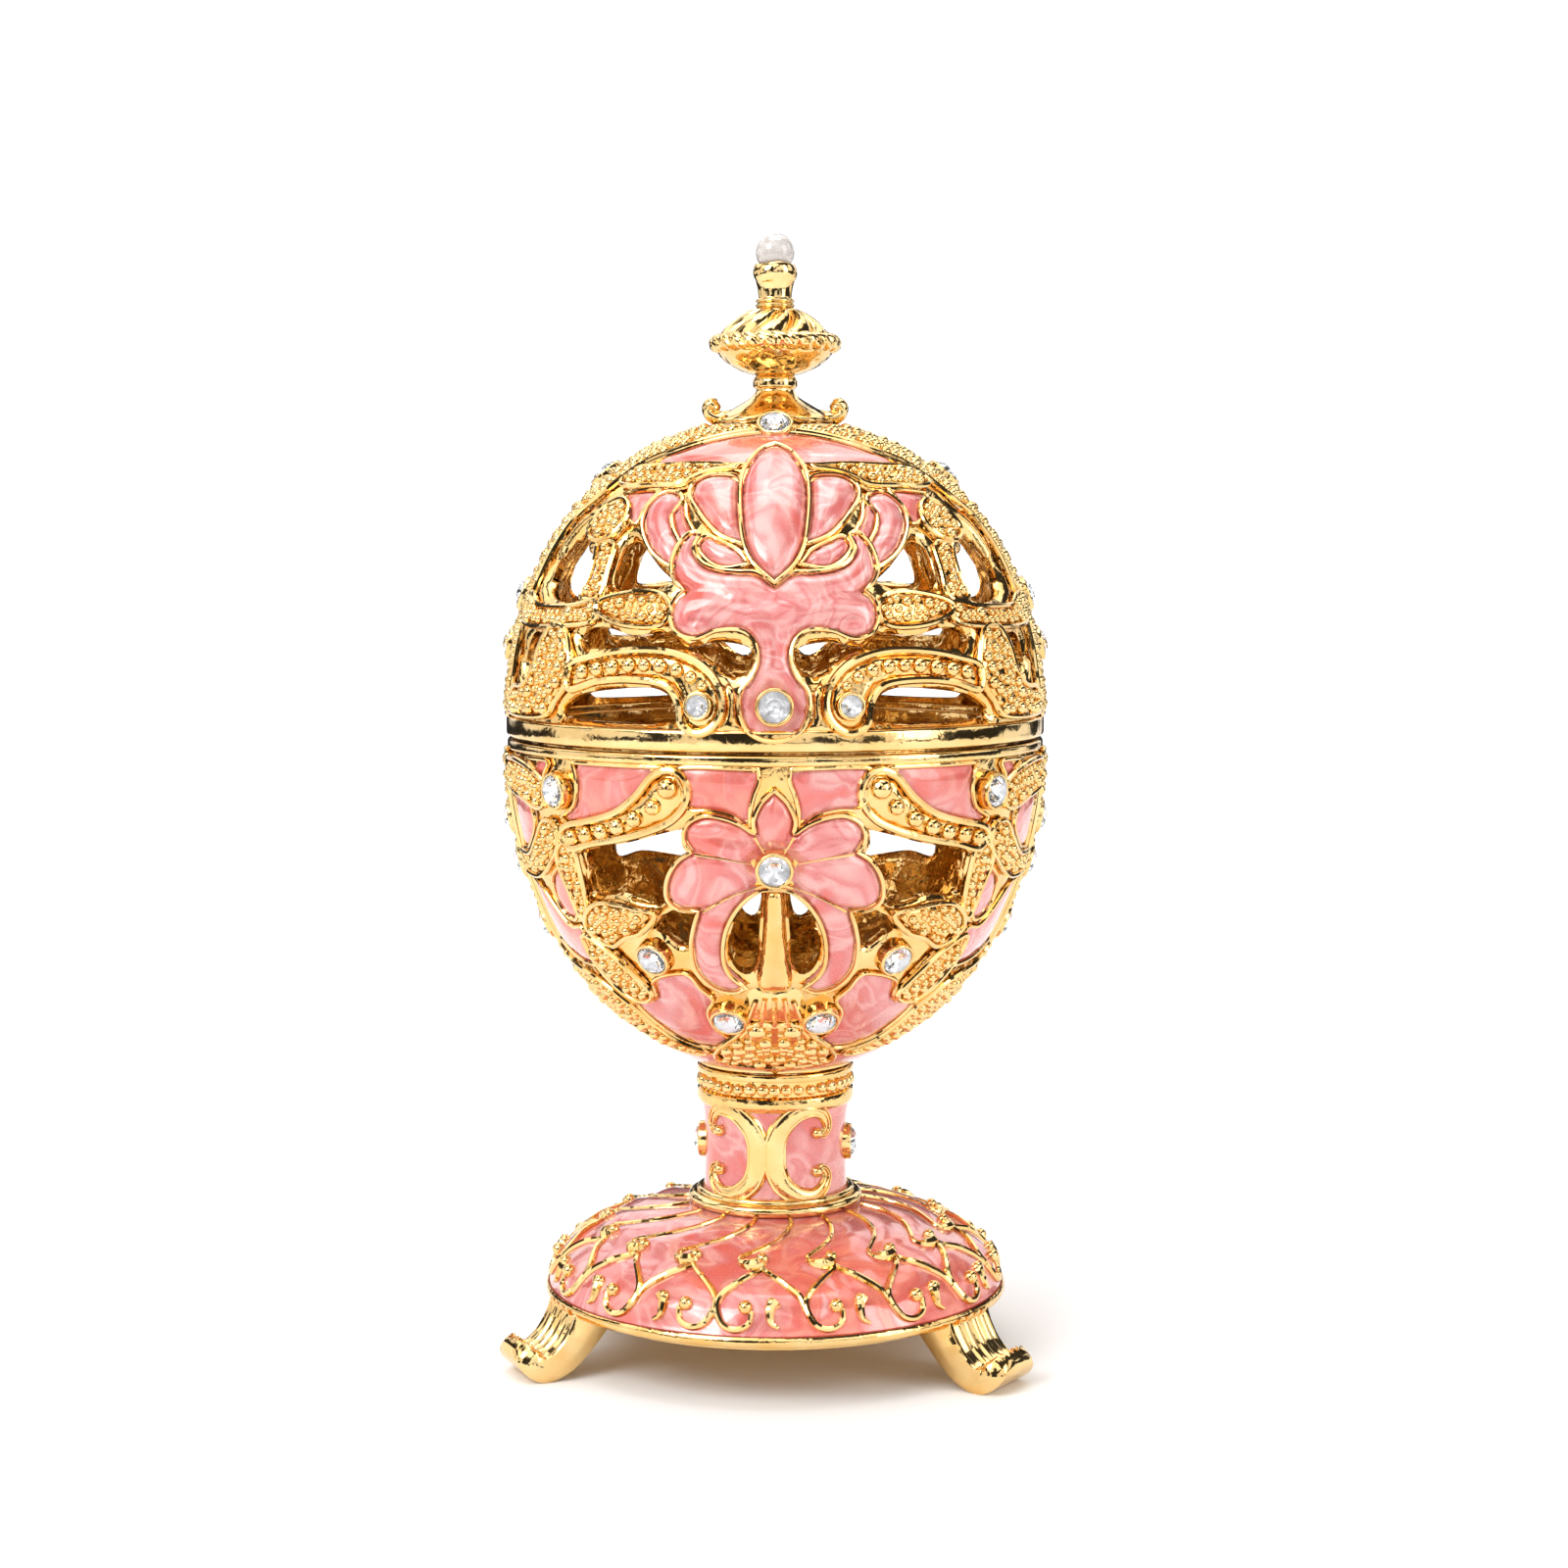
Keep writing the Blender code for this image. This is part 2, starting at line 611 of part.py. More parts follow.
def stem_and_collar(material):
    """The round stem with its scrolls and side settings, the ring at its foot and the collar."""
    scale = (STEM_RADIUS * radians(1), STEM_HEIGHT)
    panel = Panel(0.0, 1.0, STEM_ANGLE, STEM_ANGLE)
    panel.add_pad(STEM_SCROLL, PETAL_HEIGHT, scale)
    panel.add_setting((QUARTER, STEM_STONE_SHARE), STONE_RADIUS, scale)
    panel.add_grid(STEM_GRID)
    shell = Shell(stem_point)
    shell.add_skin("outer", panel)
    ring, low = STEM_RING_RADIUS, STEM_FOOT
    foot = [
        (ring - STEM_RING_HEIGHT * 0.3, low), (ring, low - STEM_RING_HEIGHT * 0.45),
        (ring - STEM_RING_HEIGHT * 0.2, low - STEM_RING_HEIGHT),
        (ring - STEM_RING_HEIGHT, low - FOOT_WALL * 2),
    ]
    inner, rim = COLLAR_RADIUS - COLLAR_GROOVE, COLLAR_HEIGHT
    collar = [
        (COLLAR_RADIUS, COLLAR_FOOT), (COLLAR_RADIUS, COLLAR_FOOT + rim * 0.26),
        (inner, COLLAR_FOOT + rim * 0.34), (inner, COLLAR_FOOT + rim * 0.74),
        (COLLAR_RADIUS, COLLAR_FOOT + rim * 0.8), (COLLAR_RADIUS, COLLAR_TOP),
    ]
    shell.add_turned_end(panel.low_turns, panel.low, foot)
    shell.add_turned_end(panel.high_turns, panel.high, collar)
    return add_object("stem", mesh_from_bmesh("stem", shell.bm), material)


def pedestal_cutter():
    """The hollow under the dome and up the stem."""
    profile = [(FOOT_RADIUS - FOOT_WALL * 0.8, FOOT_CLEARANCE - FOOT_WALL)]
    for radius, z in [dome_point(share) for share in DOME_SHAPE[::-1]]:
        profile.append((radius - FOOT_WALL * (0.8 if radius > FOOT_RADIUS * 0.9 else 0.45), z - FOOT_WALL))
    profile[-1] = (STEM_BORE, profile[-1][1])
    profile.append((STEM_BORE, COLLAR_TOP - COLLAR_PLATE))
    cutter = bpy.data.objects.new("hollow", turned("hollow", profile, BORE_SIDES))
    bpy.context.collection.objects.link(cutter)
    return cutter


def reeded_foot(turn):
    """One scroll foot: reeded on its outer face, flat where it stands, curled up at the tip."""
    root = FOOT_RADIUS - FOOT_WALL
    half_way = FEET_THICKNESS / 2
    pad = FEET_REACH * 0.84
    line = [
        (root - FEET_ROOT_STEP, FOOT_CLEARANCE + FEET_ROOT_RISE),
        (root + FEET_ROOT_STEP, FOOT_CLEARANCE - FEET_ROOT_STEP),
        (root + FEET_KNEE, FOOT_CLEARANCE * 0.47), (pad, half_way), (pad + FEET_PAD_LENGTH, half_way),
        (FEET_REACH - half_way * 0.6, FEET_THICKNESS), (FEET_REACH - half_way * 0.5, FEET_THICKNESS * 1.9),
    ]
    stations = []
    for i, (radius, z) in enumerate(line):
        before, after = line[max(i - 1, 0)], line[min(i + 1, len(line) - 1)]
        along = Vector((after[0] - before[0], after[1] - before[1])).normalized()
        if i in (3, 4):
            along = Vector((1, 0))
        normal = Vector((-along.y, along.x))
        width = FEET_WIDTH + (FEET_TIP_WIDTH - FEET_WIDTH) * i / (len(line) - 1)
        ring = []
        for j in range(2 * REEDS + 1):
            lift = half_way + (REED_HEIGHT if j % 2 else 0)
            ring.append((radius + normal.x * lift, width * (j / (2 * REEDS) - 0.5), z + normal.y * lift))
        for side in (0.5, -0.5):
            ring.append((radius - normal.x * half_way, width * side, z - normal.y * half_way))
        stations.append(ring)
    mesh = swept("foot", stations)
    mesh.transform(Matrix.Rotation(radians(turn - QUARTER), 4, "Z"))
    foot = bpy.data.objects.new("foot", mesh)
    bpy.context.collection.objects.link(foot)
    return foot


def build_pedestal(material):
    pedestal = foot_dome(material)
    apply_boolean(pedestal, stem_and_collar(material), "UNION")
    apply_boolean(pedestal, pedestal_cutter(), "DIFFERENCE")
    for i in range(FEET):
        turn = 180 + PEDESTAL_TURN + 360 * i / FEET
        apply_boolean(pedestal, reeded_foot(turn), "UNION")
    pedestal.data.set_sharp_from_angle(angle=radians(SHARP_ANGLE))


def curl(base, turn):
    """A leaf tip at the finial's skirt that runs out and rolls up."""
    mid = (FINIAL_SKIRT_RADIUS + CURL_REACH) / 2
    line = [
        (FINIAL_SKIRT_RADIUS * 0.7, CURL_RADIUS * 1.5), (mid, CURL_RADIUS),
        (CURL_REACH - CURL_RADIUS, CURL_RADIUS * 1.2), (CURL_REACH, CURL_RADIUS * 2.1),
        (CURL_REACH - CURL_RADIUS * 0.8, CURL_RADIUS * 3),
    ]
    stations = []
    for i, (radius, z) in enumerate(line):
        before, after = line[max(i - 1, 0)], line[min(i + 1, len(line) - 1)]
        along = Vector((after[0] - before[0], after[1] - before[1])).normalized()
        ring = []
        for k in range(CURL_SIDES):
            a = 2 * pi * k / CURL_SIDES
            lift, aside = CURL_RADIUS * cos(a), CURL_RADIUS * 1.5 * sin(a)
            ring.append((radius - along.y * lift, aside, base + z + along.x * lift))
        stations.append(ring)
    mesh = swept("curl", stations)
    mesh.transform(Matrix.Rotation(radians(turn - QUARTER), 4, "Z"))
    item = bpy.data.objects.new("curl", mesh)
    bpy.context.collection.objects.link(item)
    return item


def build_finial(base, material):
    """The top piece: skirt, neck ring, swirled disc with a roped edge, neck and cup."""
    skirt, disc, neck, step = FINIAL_SKIRT_RADIUS, FINIAL_DISC_RADIUS, FINIAL_NECK_RADIUS, FINIAL_RING_STEP
    cup = PEARL_RADIUS + FIT_GAP
    shape = [
        (skirt, 0), (skirt * 0.94, 0.024), (skirt * 0.72, 0.083), (skirt * 0.54, 0.145),
        (neck + step * 0.4, 0.2), (neck + step, 0.245), (neck + step, 0.31), (disc * 0.57, 0.366),
        (disc * 0.8, 0.434), (disc, 0.48), (disc, 0.55), (disc * 0.82, 0.59), (disc * 0.62, 0.66),
        (neck + step, 0.73), (neck + step, 0.77), (neck, 0.785), (neck, 0.885),
        (cup, 0.91), (cup, 1.0), (cup - CUP_EDGE, 1.0), (cup * 0.62, 0.955), (0, 0.93),
    ]
    lobed = {8, 9, 10, 11, 12}

    def swirl(step_index, row, radius, z, turn):
        lift = FINIAL_LOBE_HEIGHT if row in lobed and step_index % 2 else 0.0
        sway = FINIAL_SWIRL * max(row - 10, 0) if row < 14 else 0.0
        return radius + lift * 0.5, turn + sway, z + lift * (0.5 if row > 10 else -0.5 if row < 9 else 0)

    profile = [(radius, base + FINIAL_HEIGHT * z) for radius, z in shape]
    finial = add_object("finial", turned("finial", profile, FINIAL_LOBES * 2, swirl), material)
    for turn in (QUARTER, -QUARTER):
        apply_boolean(finial, curl(base, turn), "UNION")
    finial.data.set_sharp_from_angle(angle=radians(SHARP_ANGLE))


def build_pearl(rim_z, material):
    mesh = bpy.data.meshes.new("pearl")
    bm = bmesh.new()
    rows = PEARL_SIDES // 2 + 1
    bmesh.ops.create_uvsphere(bm, u_segments=PEARL_SIDES, v_segments=rows, radius=PEARL_RADIUS)
    bm.to_mesh(mesh)
    bm.free()
    pearl = add_object("pearl", mesh, material, 80)
    pearl.location.z = rim_z + PEARL_SEAT


def stone_mesh(radius, material):
    """A round stone cut flat on top, with its flat base at the origin."""
    bm = bmesh.new()
    rings = []
    for reach, z in ((radius * STONE_BASE, 0.0), (radius * STONE_TABLE, radius * STONE_RISE)):
        turns = [2 * pi * i / STONE_SIDES for i in range(STONE_SIDES)]
        rings.append([bm.verts.new((reach * cos(a), reach * sin(a), z)) for a in turns])
    for i in range(STONE_SIDES):
        j = (i + 1) % STONE_SIDES
        bm.faces.new([rings[0][i], rings[0][j], rings[1][j], rings[1][i]])
    for ring in rings:
        bm.faces.new(ring)
    mesh = mesh_from_bmesh("stone", bm)
    mesh.materials.append(material)
    return mesh


def stone_copies(name, turn):
    """Names and turns of a stone's copies round the object."""
    if turn == 0:
        return [(name + "_front", 0.0), (name + "_back", 180.0)]
    if turn == QUARTER:
        return [(name + "_right", QUARTER), (name + "_left", -QUARTER)]
    return [(name + "_front_right", turn), (name + "_front_left", -turn),
            (name + "_back_right", 180 - turn), (name + "_back_left", 180 + turn)]


def place_stone(name, mesh, surface, turn, rise):
    """Set a stone on its setting, facing straight out of the surface."""
    level = SETTING_HEIGHT + FIT_GAP
    seat = surface(turn, rise, level)
    out = (surface(turn, rise, level * 2) - seat).normalized()
    item = bpy.data.objects.new(name, mesh)
    item.matrix_world = Matrix.Translation(seat) @ out.to_track_quat("Z", "Y").to_matrix().to_4x4()
    bpy.context.collection.objects.link(item)


def build_stones(material):
    meshes = {radius: stone_mesh(radius, material) for radius in (STONE_RADIUS, SMALL_STONE_RADIUS)}
    for prefix, side, stones in (("lid_", 1, LID_STONES), ("bowl_", -1, BOWL_STONES)):
        for name, turn, rise, radius in stones:
            for label, place in stone_copies(prefix + name, turn):
                place_stone(label, meshes[radius], lambda t, r, l: egg_point(t, r, l, side), place, rise)
    for label, place in stone_copies("stem_stone", QUARTER):
        place_stone(label, meshes[STONE_RADIUS], stem_point, place, STEM_STONE_SHARE)


def build_lid(material):
    inner = EGG_RADIUS - WALL
    rim = EGG_RADIUS + LID_RIM_STEP
    foot = SEAM_Z + SEAM_GAP / 2
    profile = [(rim, SEAM_Z + LID_RIM_HEIGHT * 0.9), (rim, foot), (inner, foot)]
    build_half("egg_lid", 1, LID_PETALS, LID_FIELDS, LID_WINDOWS, [LID_FLOWER_BODY], LID_STONES, material,
               LID_RIM_HEIGHT, profile)


def build_bowl(material):
    rim = EGG_RADIUS + BOWL_RIM_STEP
    lip = EGG_RADIUS - WALL - FIT_GAP
    top = SEAM_Z - SEAM_GAP / 2
    profile = [
        (rim, SEAM_Z - BOWL_RIM_HEIGHT * 0.9), (rim, top), (lip, top), (lip, SEAM_Z + LIP_HEIGHT),
        (lip - LIP_THICKNESS, SEAM_Z + LIP_HEIGHT), (lip - LIP_THICKNESS, SEAM_Z - LIP_ROOT),
    ]
    build_half("egg_bowl", -1, BOWL_PETALS, BOWL_FIELDS, BOWL_WINDOWS, [BOWL_TONGUE, BOWL_FAN], BOWL_STONES,
               material, BOWL_RIM_HEIGHT, profile)


def main():
    clear_scene()
    gilt = make_material("gilt metal", (0.95, 0.66, 0.22), 0.15, 1.0)
    enamel = make_material("pink enamel on metal", (0.90, 0.35, 0.38), 0.25, 0.0)
    crystal = make_material("clear stone", (1.0, 1.0, 1.0), 0.02, 0.0, 1.0)
    white = make_material("pearl", (0.95, 0.93, 0.90), 0.2, 0.0)
    build_pedestal(enamel)
    build_bowl(gilt)
    build_lid(gilt)
    lid_top = egg_point(0, LID_TOP_RISE, 0, 1).z
    build_finial(lid_top + FIT_GAP, gilt)
    build_pearl(lid_top + FIT_GAP + FINIAL_HEIGHT, white)
    build_stones(crystal)


main()
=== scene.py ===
import random
from math import acos, asin, cos, degrees, hypot, pi, radians, sin, sqrt

import bmesh
import bpy
import numpy as np
from mathutils import Matrix, Vector
from mathutils.geometry import delaunay_2d_cdt


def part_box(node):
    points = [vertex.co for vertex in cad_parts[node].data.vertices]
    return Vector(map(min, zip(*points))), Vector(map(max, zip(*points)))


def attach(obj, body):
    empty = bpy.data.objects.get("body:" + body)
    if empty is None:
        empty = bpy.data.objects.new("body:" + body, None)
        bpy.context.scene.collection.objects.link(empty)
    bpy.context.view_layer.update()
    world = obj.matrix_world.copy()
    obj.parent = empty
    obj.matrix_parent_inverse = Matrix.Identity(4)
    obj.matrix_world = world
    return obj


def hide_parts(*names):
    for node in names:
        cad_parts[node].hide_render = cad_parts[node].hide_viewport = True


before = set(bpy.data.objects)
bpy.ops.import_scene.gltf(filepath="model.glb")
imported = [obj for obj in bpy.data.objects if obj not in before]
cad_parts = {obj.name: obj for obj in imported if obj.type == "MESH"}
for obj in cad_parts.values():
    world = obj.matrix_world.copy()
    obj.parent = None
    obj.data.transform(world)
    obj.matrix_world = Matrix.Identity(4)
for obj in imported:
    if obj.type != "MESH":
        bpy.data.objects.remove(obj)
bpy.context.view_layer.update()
mm = 0.001

# The egg's own shape, the same as in the solids; heights come from the frame
egg = {
    "radius": 28.3 * mm,
    "wall": 1.8 * mm,
    "lid": {"side": 1, "height": 33.0 * mm, "roundness": 2.2, "topRadius": 5.7 * mm, "rim": 2.3 * mm},
    "bowl": {"side": -1, "height": 36.5 * mm, "roundness": 2.0, "topRadius": 7.6 * mm, "rim": 1.2 * mm},
    "seamGap": 0.3 * mm,
}
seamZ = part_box("egg_lid")[0].z - egg["seamGap"] / 2


# Any place on the egg from its turn and rise in degrees and its level over the ground in metres
def eggPoints(half, turn, rise, level=0.0):
    turn, rise = np.radians(np.asarray(turn, float)), np.radians(np.clip(np.asarray(rise, float), 0, 89.9))
    power = 2 / half["roundness"]
    radius = egg["radius"] * np.cos(rise) ** power
    up = half["height"] * np.sin(rise) ** power
    across = (radius / egg["radius"]) ** (half["roundness"] - 1) / egg["radius"]
    along = (up / half["height"]) ** (half["roundness"] - 1) / half["height"]
    length = np.hypot(across, along)
    radius = radius + level * across / length
    up = up + level * along / length
    return np.stack([radius * np.sin(turn), -radius * np.cos(turn), seamZ + half["side"] * up], axis=-1)


def eggFrame(half, turn, rise, level):
    here = Vector(eggPoints(half, turn, rise, level))
    return here, (Vector(eggPoints(half, turn, rise, level + mm)) - here).normalized()


# Rise to arc over the surface, and the stretched rise in which the egg is laid out without shear
for half in (egg["lid"], egg["bowl"]):
    table = np.linspace(0, 89, 891)
    ground = eggPoints(half, np.zeros_like(table), table)
    steps = np.linalg.norm(np.diff(ground, axis=0), axis=1)
    radii = np.hypot(ground[:, 0], ground[:, 1])
    half["table"] = table
    half["arc"] = np.concatenate([[0], np.cumsum(steps)])
    half["flat"] = np.concatenate([[0], np.cumsum(np.degrees(steps / ((radii[1:] + radii[:-1]) / 2)))])
    half["high"] = degrees(acos((half["topRadius"] / egg["radius"]) ** (half["roundness"] / 2)))
    half["low"] = degrees(asin((half["rim"] / half["height"]) ** (half["roundness"] / 2)))


def riseAt(half, arc):
    return np.interp(arc, half["arc"], half["table"])


def arcAt(half, rise):
    return np.interp(rise, half["table"], half["arc"])


def radiusAt(half, rise):
    return egg["radius"] * np.cos(np.radians(rise)) ** (2 / half["roundness"])


# One point of a smooth curve from p1 to p2, with the points before and after them
def bend(before, p1, p2, after, t):
    return 0.5 * (2 * p1 + (p2 - before) * t + (2 * before - 5 * p1 + 4 * p2 - after) * t ** 2
                  + (3 * p1 - before - 3 * p2 + after) * t ** 3)


# Outlines: a point given twice is a sharp corner, every other one is rounded
def mirrored(points, axis):
    if axis is None:
        return points
    back = [(2 * axis - u, v) for u, v in reversed(points)]
    if abs(points[-1][0] - axis) < 1e-6:
        back = back[1:]
    if abs(points[0][0] - axis) < 1e-6:
        back = back[:-1]
    return list(points) + back


def smoothLine(half, points, spacing, closed=True):
    clean, corner = [], []
    for point in points:
        if clean and point == clean[-1]:
            corner[-1] = True
        else:
            clean.append(point)
            corner.append(False)
    count = len(clean)
    flat = np.array([(u, np.interp(v, half["table"], half["flat"])) for u, v in clean])
    line = []
    for i in range(count if closed else count - 1):
        j = (i + 1) % count
        p1, p2 = flat[i], flat[j]
        before = 2 * p1 - p2 if corner[i] or (not closed and i == 0) else flat[i - 1]
        after = 2 * p2 - p1 if corner[j] or (not closed and j == count - 1) else flat[(j + 1) % count]
        size = radiusAt(half, (clean[i][1] + clean[j][1]) / 2) * radians(1)
        parts = max(1, round(float(np.hypot(*(p2 - p1))) * size / spacing))
        line += [bend(before, p1, p2, after, k / parts) for k in range(parts)]
    if not closed:
        line.append(flat[-1])
    line = np.array(line)
    line[:, 1] = np.interp(line[:, 1], half["flat"], half["table"])
    return line


def insideMask(points, outline):
    u, v = points[:, 0], points[:, 1]
    inside = np.zeros(len(points), bool)
    for (u1, v1), (u2, v2) in zip(outline, np.roll(outline, -1, axis=0)):
        if v1 == v2:
            continue
        inside ^= ((v1 > v) != (v2 > v)) & (u < u1 + (v - v1) * (u2 - u1) / (v2 - v1))
    return inside


# Distance in metres from places on the egg to a set of closed lines, measured between surface points
def lineDistance(half, points, lines):
    spots = eggPoints(half, points[:, 0], points[:, 1])
    best = np.full(len(points), 1.0)
    for line in lines:
        ring = eggPoints(half, line[:, 0], line[:, 1])
        for a, b in zip(ring, np.roll(ring, -1, axis=0)):
            d = b - a
            size = float(d @ d)
            if size < 1e-16:
                continue
            t = np.clip(((spots - a) @ d) / size, 0, 1)
            best = np.minimum(best, np.linalg.norm(spots - a - t[:, None] * d, axis=1))
    return best


def gridPoints(half, lowTurn, highTurn, lowRise, highRise, spacing):
    rows = max(1, int(round((arcAt(half, highRise) - arcAt(half, lowRise)) / spacing)))
    found = []
    for row in range(1, rows):
        arc = arcAt(half, lowRise) + (arcAt(half, highRise) - arcAt(half, lowRise)) * row / rows
        rise = float(riseAt(half, arc))
        step = degrees(spacing / radiusAt(half, rise))
        count = max(1, int((highTurn - lowTurn) / step))
        shift = 0.5 if row % 2 else 0.0
        found += [(lowTurn + (highTurn - lowTurn) * (k + shift) / count, rise) for k in range(count + 1)]
    found = np.array(found) if found else np.zeros((0, 2))
    return found[(found[:, 0] >= lowTurn) & (found[:, 0] <= highTurn)]


# Triangles over an outline with holes, laid out in turn and stretched rise
def triangulated(half, outline, holes, inner):
    places = [tuple(p) for p in outline]
    edges = [(i, (i + 1) % len(outline)) for i in range(len(outline))]
    for hole in holes:
        start = len(places)
        places += [tuple(p) for p in hole]
        edges += [(start + i, start + (i + 1) % len(hole)) for i in range(len(hole))]
    places += [tuple(p) for p in inner]
    flat = [Vector((u, float(np.interp(v, half["table"], half["flat"])))) for u, v in places]
    verts, _, faces, origins, _, _ = delaunay_2d_cdt(flat, edges, [], 0, 1e-7)
    points = np.array([places[o[0]] if o else (p.x, float(np.interp(p.y, half["flat"], half["table"])))
                       for p, o in zip(verts, origins)])
    faces = np.array([f for f in faces if len(f) == 3])
    middle = points[faces].mean(axis=1)
    keep = insideMask(middle, np.asarray(outline))
    for hole in holes:
        keep &= ~insideMask(middle, np.asarray(hole))
    return points, faces[keep]


# Four-sided faces over a grid of points that are numbered row by row
def gridFaces(rows, columns, closeRows=True, closeColumns=True, flip=False):
    faces = []
    for i in range(rows if closeRows else rows - 1):
        j = (i + 1) % rows
        for k in range(columns if closeColumns else columns - 1):
            m = (k + 1) % columns
            a, b, c, d = i * columns + k, i * columns + m, j * columns + m, j * columns + k
            faces.append([a, d, c, b] if flip else [a, b, c, d])
    return faces


# Pieces are gathered as lists of points and faces, and turned into one object at the end
class Piece:
    def __init__(self, name):
        self.name = name
        self.points, self.faces = [], []

    def add(self, points, faces):
        start = sum(len(p) for p in self.points)
        self.points.append(np.asarray(points, float))
        self.faces += [[start + int(i) for i in face] for face in faces]

    def build(self, finish, slot, nodes=(), merge=0.0, sharp=40, flat=False):
        mesh = bpy.data.meshes.new(self.name)
        mesh.from_pydata(np.concatenate(self.points).tolist(), [], self.faces)
        bm = bmesh.new()
        bm.from_mesh(mesh)
        if merge:
            bmesh.ops.remove_doubles(bm, verts=bm.verts, dist=merge)
        bmesh.ops.recalc_face_normals(bm, faces=bm.faces)
        bmesh.ops.triangulate(bm, faces=bm.faces)
        bm.to_mesh(mesh)
        bm.free()
        if flat:
            mesh.shade_flat()
        else:
            mesh.shade_smooth()
            mesh.set_sharp_from_angle(angle=radians(sharp))
        item = bpy.data.objects.new(self.name, mesh)
        bpy.context.scene.collection.objects.link(item)
        item.data.materials.append(finish)
        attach(item, "root")
        if nodes:
            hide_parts(*nodes)
        print(f"{self.name}: {len(mesh.polygons)} faces")


# The copies of a motif round the egg: as it is and turned to the back, with mirror images off the axes
def copiesOf(axis):
    if axis is None:
        return [(1, 0), (-1, 0), (1, 180), (-1, 180)]
    return [(1, 0), (1, 180)] if axis == 0 else [(1, 0), (-1, 0)]


def addOnEgg(piece, half, turn, rise, level, faces, axis):
    for sign, shift in copiesOf(axis):
        piece.add(eggPoints(half, sign * turn + shift, rise, level), faces)


padLook = {"spacing": 0.55 * mm, "root": 0.5 * mm, "creaseDepth": 0.30 * mm, "creaseWidth": 0.42 * mm}


# A raised or filled shape inside an outline, rounded at its edge, with a closed underside. Dips are
# (turn, rise, reach, level) and make room for stones; creases are soft grooves along lines.
def addPad(piece, half, points, axis, base, top, crown, edge, spacing=padLook["spacing"], dips=(),
           creases=()):
    outline = smoothLine(half, mirrored(points, axis), spacing * 0.9)
    low, high = outline.min(axis=0), outline.max(axis=0)
    inner = gridPoints(half, low[0], high[0], low[1], high[1], spacing)
    inner = inner[insideMask(inner, outline)]
    if len(inner):
        inner = inner[lineDistance(half, inner, [outline]) > spacing * 0.5]
    places, faces = triangulated(half, outline, [], inner)
    away = lineDistance(half, places, [outline])
    widest = max(float(away.max()), 1e-5)
    soft = np.clip(away / min(edge, widest), 0, 1)
    swell = crown * np.sin(np.clip(away / widest, 0, 1) * pi / 2)
    level = base + (top - base) * np.sqrt(1 - (1 - soft) ** 2) + swell
    for turn, rise, reach, deep in dips:
        spot = eggPoints(half, turn, rise)
        near = np.linalg.norm(eggPoints(half, places[:, 0], places[:, 1]) - spot, axis=1)
        share = np.clip((near - reach) / reach, 0, 1)
        level = np.minimum(level, deep + (level - deep) * share * share * (3 - 2 * share))
    for line in creases:
        for side in (1, -1):
            path = [(axis + side * (turn - axis), rise) for turn, rise in line]
            near = lineDistance(half, places, [smoothLine(half, path, spacing * 0.5, False)])
            level -= padLook["creaseDepth"] * np.exp(-(near / padLook["creaseWidth"]) ** 2)
    count, ring = len(places), len(outline)
    faces = [list(f) for f in faces]
    turn = np.concatenate([places[:, 0], outline[:, 0]])
    rise = np.concatenate([places[:, 1], outline[:, 1]])
    level = np.concatenate([level, np.full(ring, base - padLook["root"])])
    for i in range(ring):
        j = (i + 1) % ring
        faces.append([i, j, count + j, count + i])
    faces.append([count + i for i in range(ring)])
    addOnEgg(piece, half, turn, rise, level, faces, axis)


# Round wire along a line of points with outward directions; width and height may differ
def wireMesh(centres, outs, radius, closed, sides=8, flatten=1.0, taper=None):
    centres, outs = np.asarray(centres), np.asarray(outs)
    ahead = np.roll(centres, -1, axis=0) - np.roll(centres, 1, axis=0)
    if not closed:
        ahead[0], ahead[-1] = centres[1] - centres[0], centres[-1] - centres[-2]
    ahead /= np.linalg.norm(ahead, axis=1)[:, None]
    aside = np.cross(ahead, outs)
    aside /= np.linalg.norm(aside, axis=1)[:, None]
    outs = np.cross(aside, ahead)
    size = np.full(len(centres), radius) if taper is None else radius * np.asarray(taper)
    points = []
    for k in range(sides):
        a = 2 * pi * k / sides
        points.append(centres + aside * (cos(a) * size)[:, None] + outs * (sin(a) * size * flatten)[:, None])
    faces = gridFaces(len(centres), sides, closed)
    if not closed:
        faces += [list(range(sides)), list(range((len(centres) - 1) * sides, len(centres) * sides))]
    return np.stack(points, axis=1).reshape(-1, 3), faces


def addWire(piece, half, points, axis, level, radius, closed=True, taper=None):
    line = smoothLine(half, mirrored(points, axis if closed else None), 0.5 * mm, closed)
    for sign, shift in copiesOf(axis):
        turn = sign * line[:, 0] + shift
        centres = eggPoints(half, turn, line[:, 1], level)
        outs = eggPoints(half, turn, line[:, 1], level + mm) - centres
        size = taper(np.linspace(0, 1, len(line))) if taper else None
        piece.add(*wireMesh(centres, outs / mm, radius, closed, 8, 1.0, size))


# Small domes: one shape copied to places with their own size and direction
def domeShape(rings, sides, depth=-0.35):
    points, faces = [], gridFaces(rings, sides, False)
    for r in range(rings):
        a = asin(depth) + (pi / 2 - asin(depth)) * r / rings
        around = [2 * pi * k / sides for k in range(sides)]
        points += [(cos(a) * cos(b), cos(a) * sin(b), sin(a)) for b in around]
    points.append((0, 0, 1))
    for k in range(sides):
        faces.append([(rings - 1) * sides + k, (rings - 1) * sides + (k + 1) % sides, rings * sides])
    faces.append(list(range(sides))[::-1])
    return np.array(points), faces


beadShape, ballShape = domeShape(4, 10), domeShape(8, 16, -0.8)


def addBead(piece, here, out, radius, squash=1.0, shape=beadShape):
    out = Vector(out).normalized()
    turnTo = np.array(out.to_track_quat("Z", "Y").to_matrix())
    points = shape[0] * [radius, radius, radius * squash]
    piece.add(points @ turnTo.T + np.array(here), shape[1])


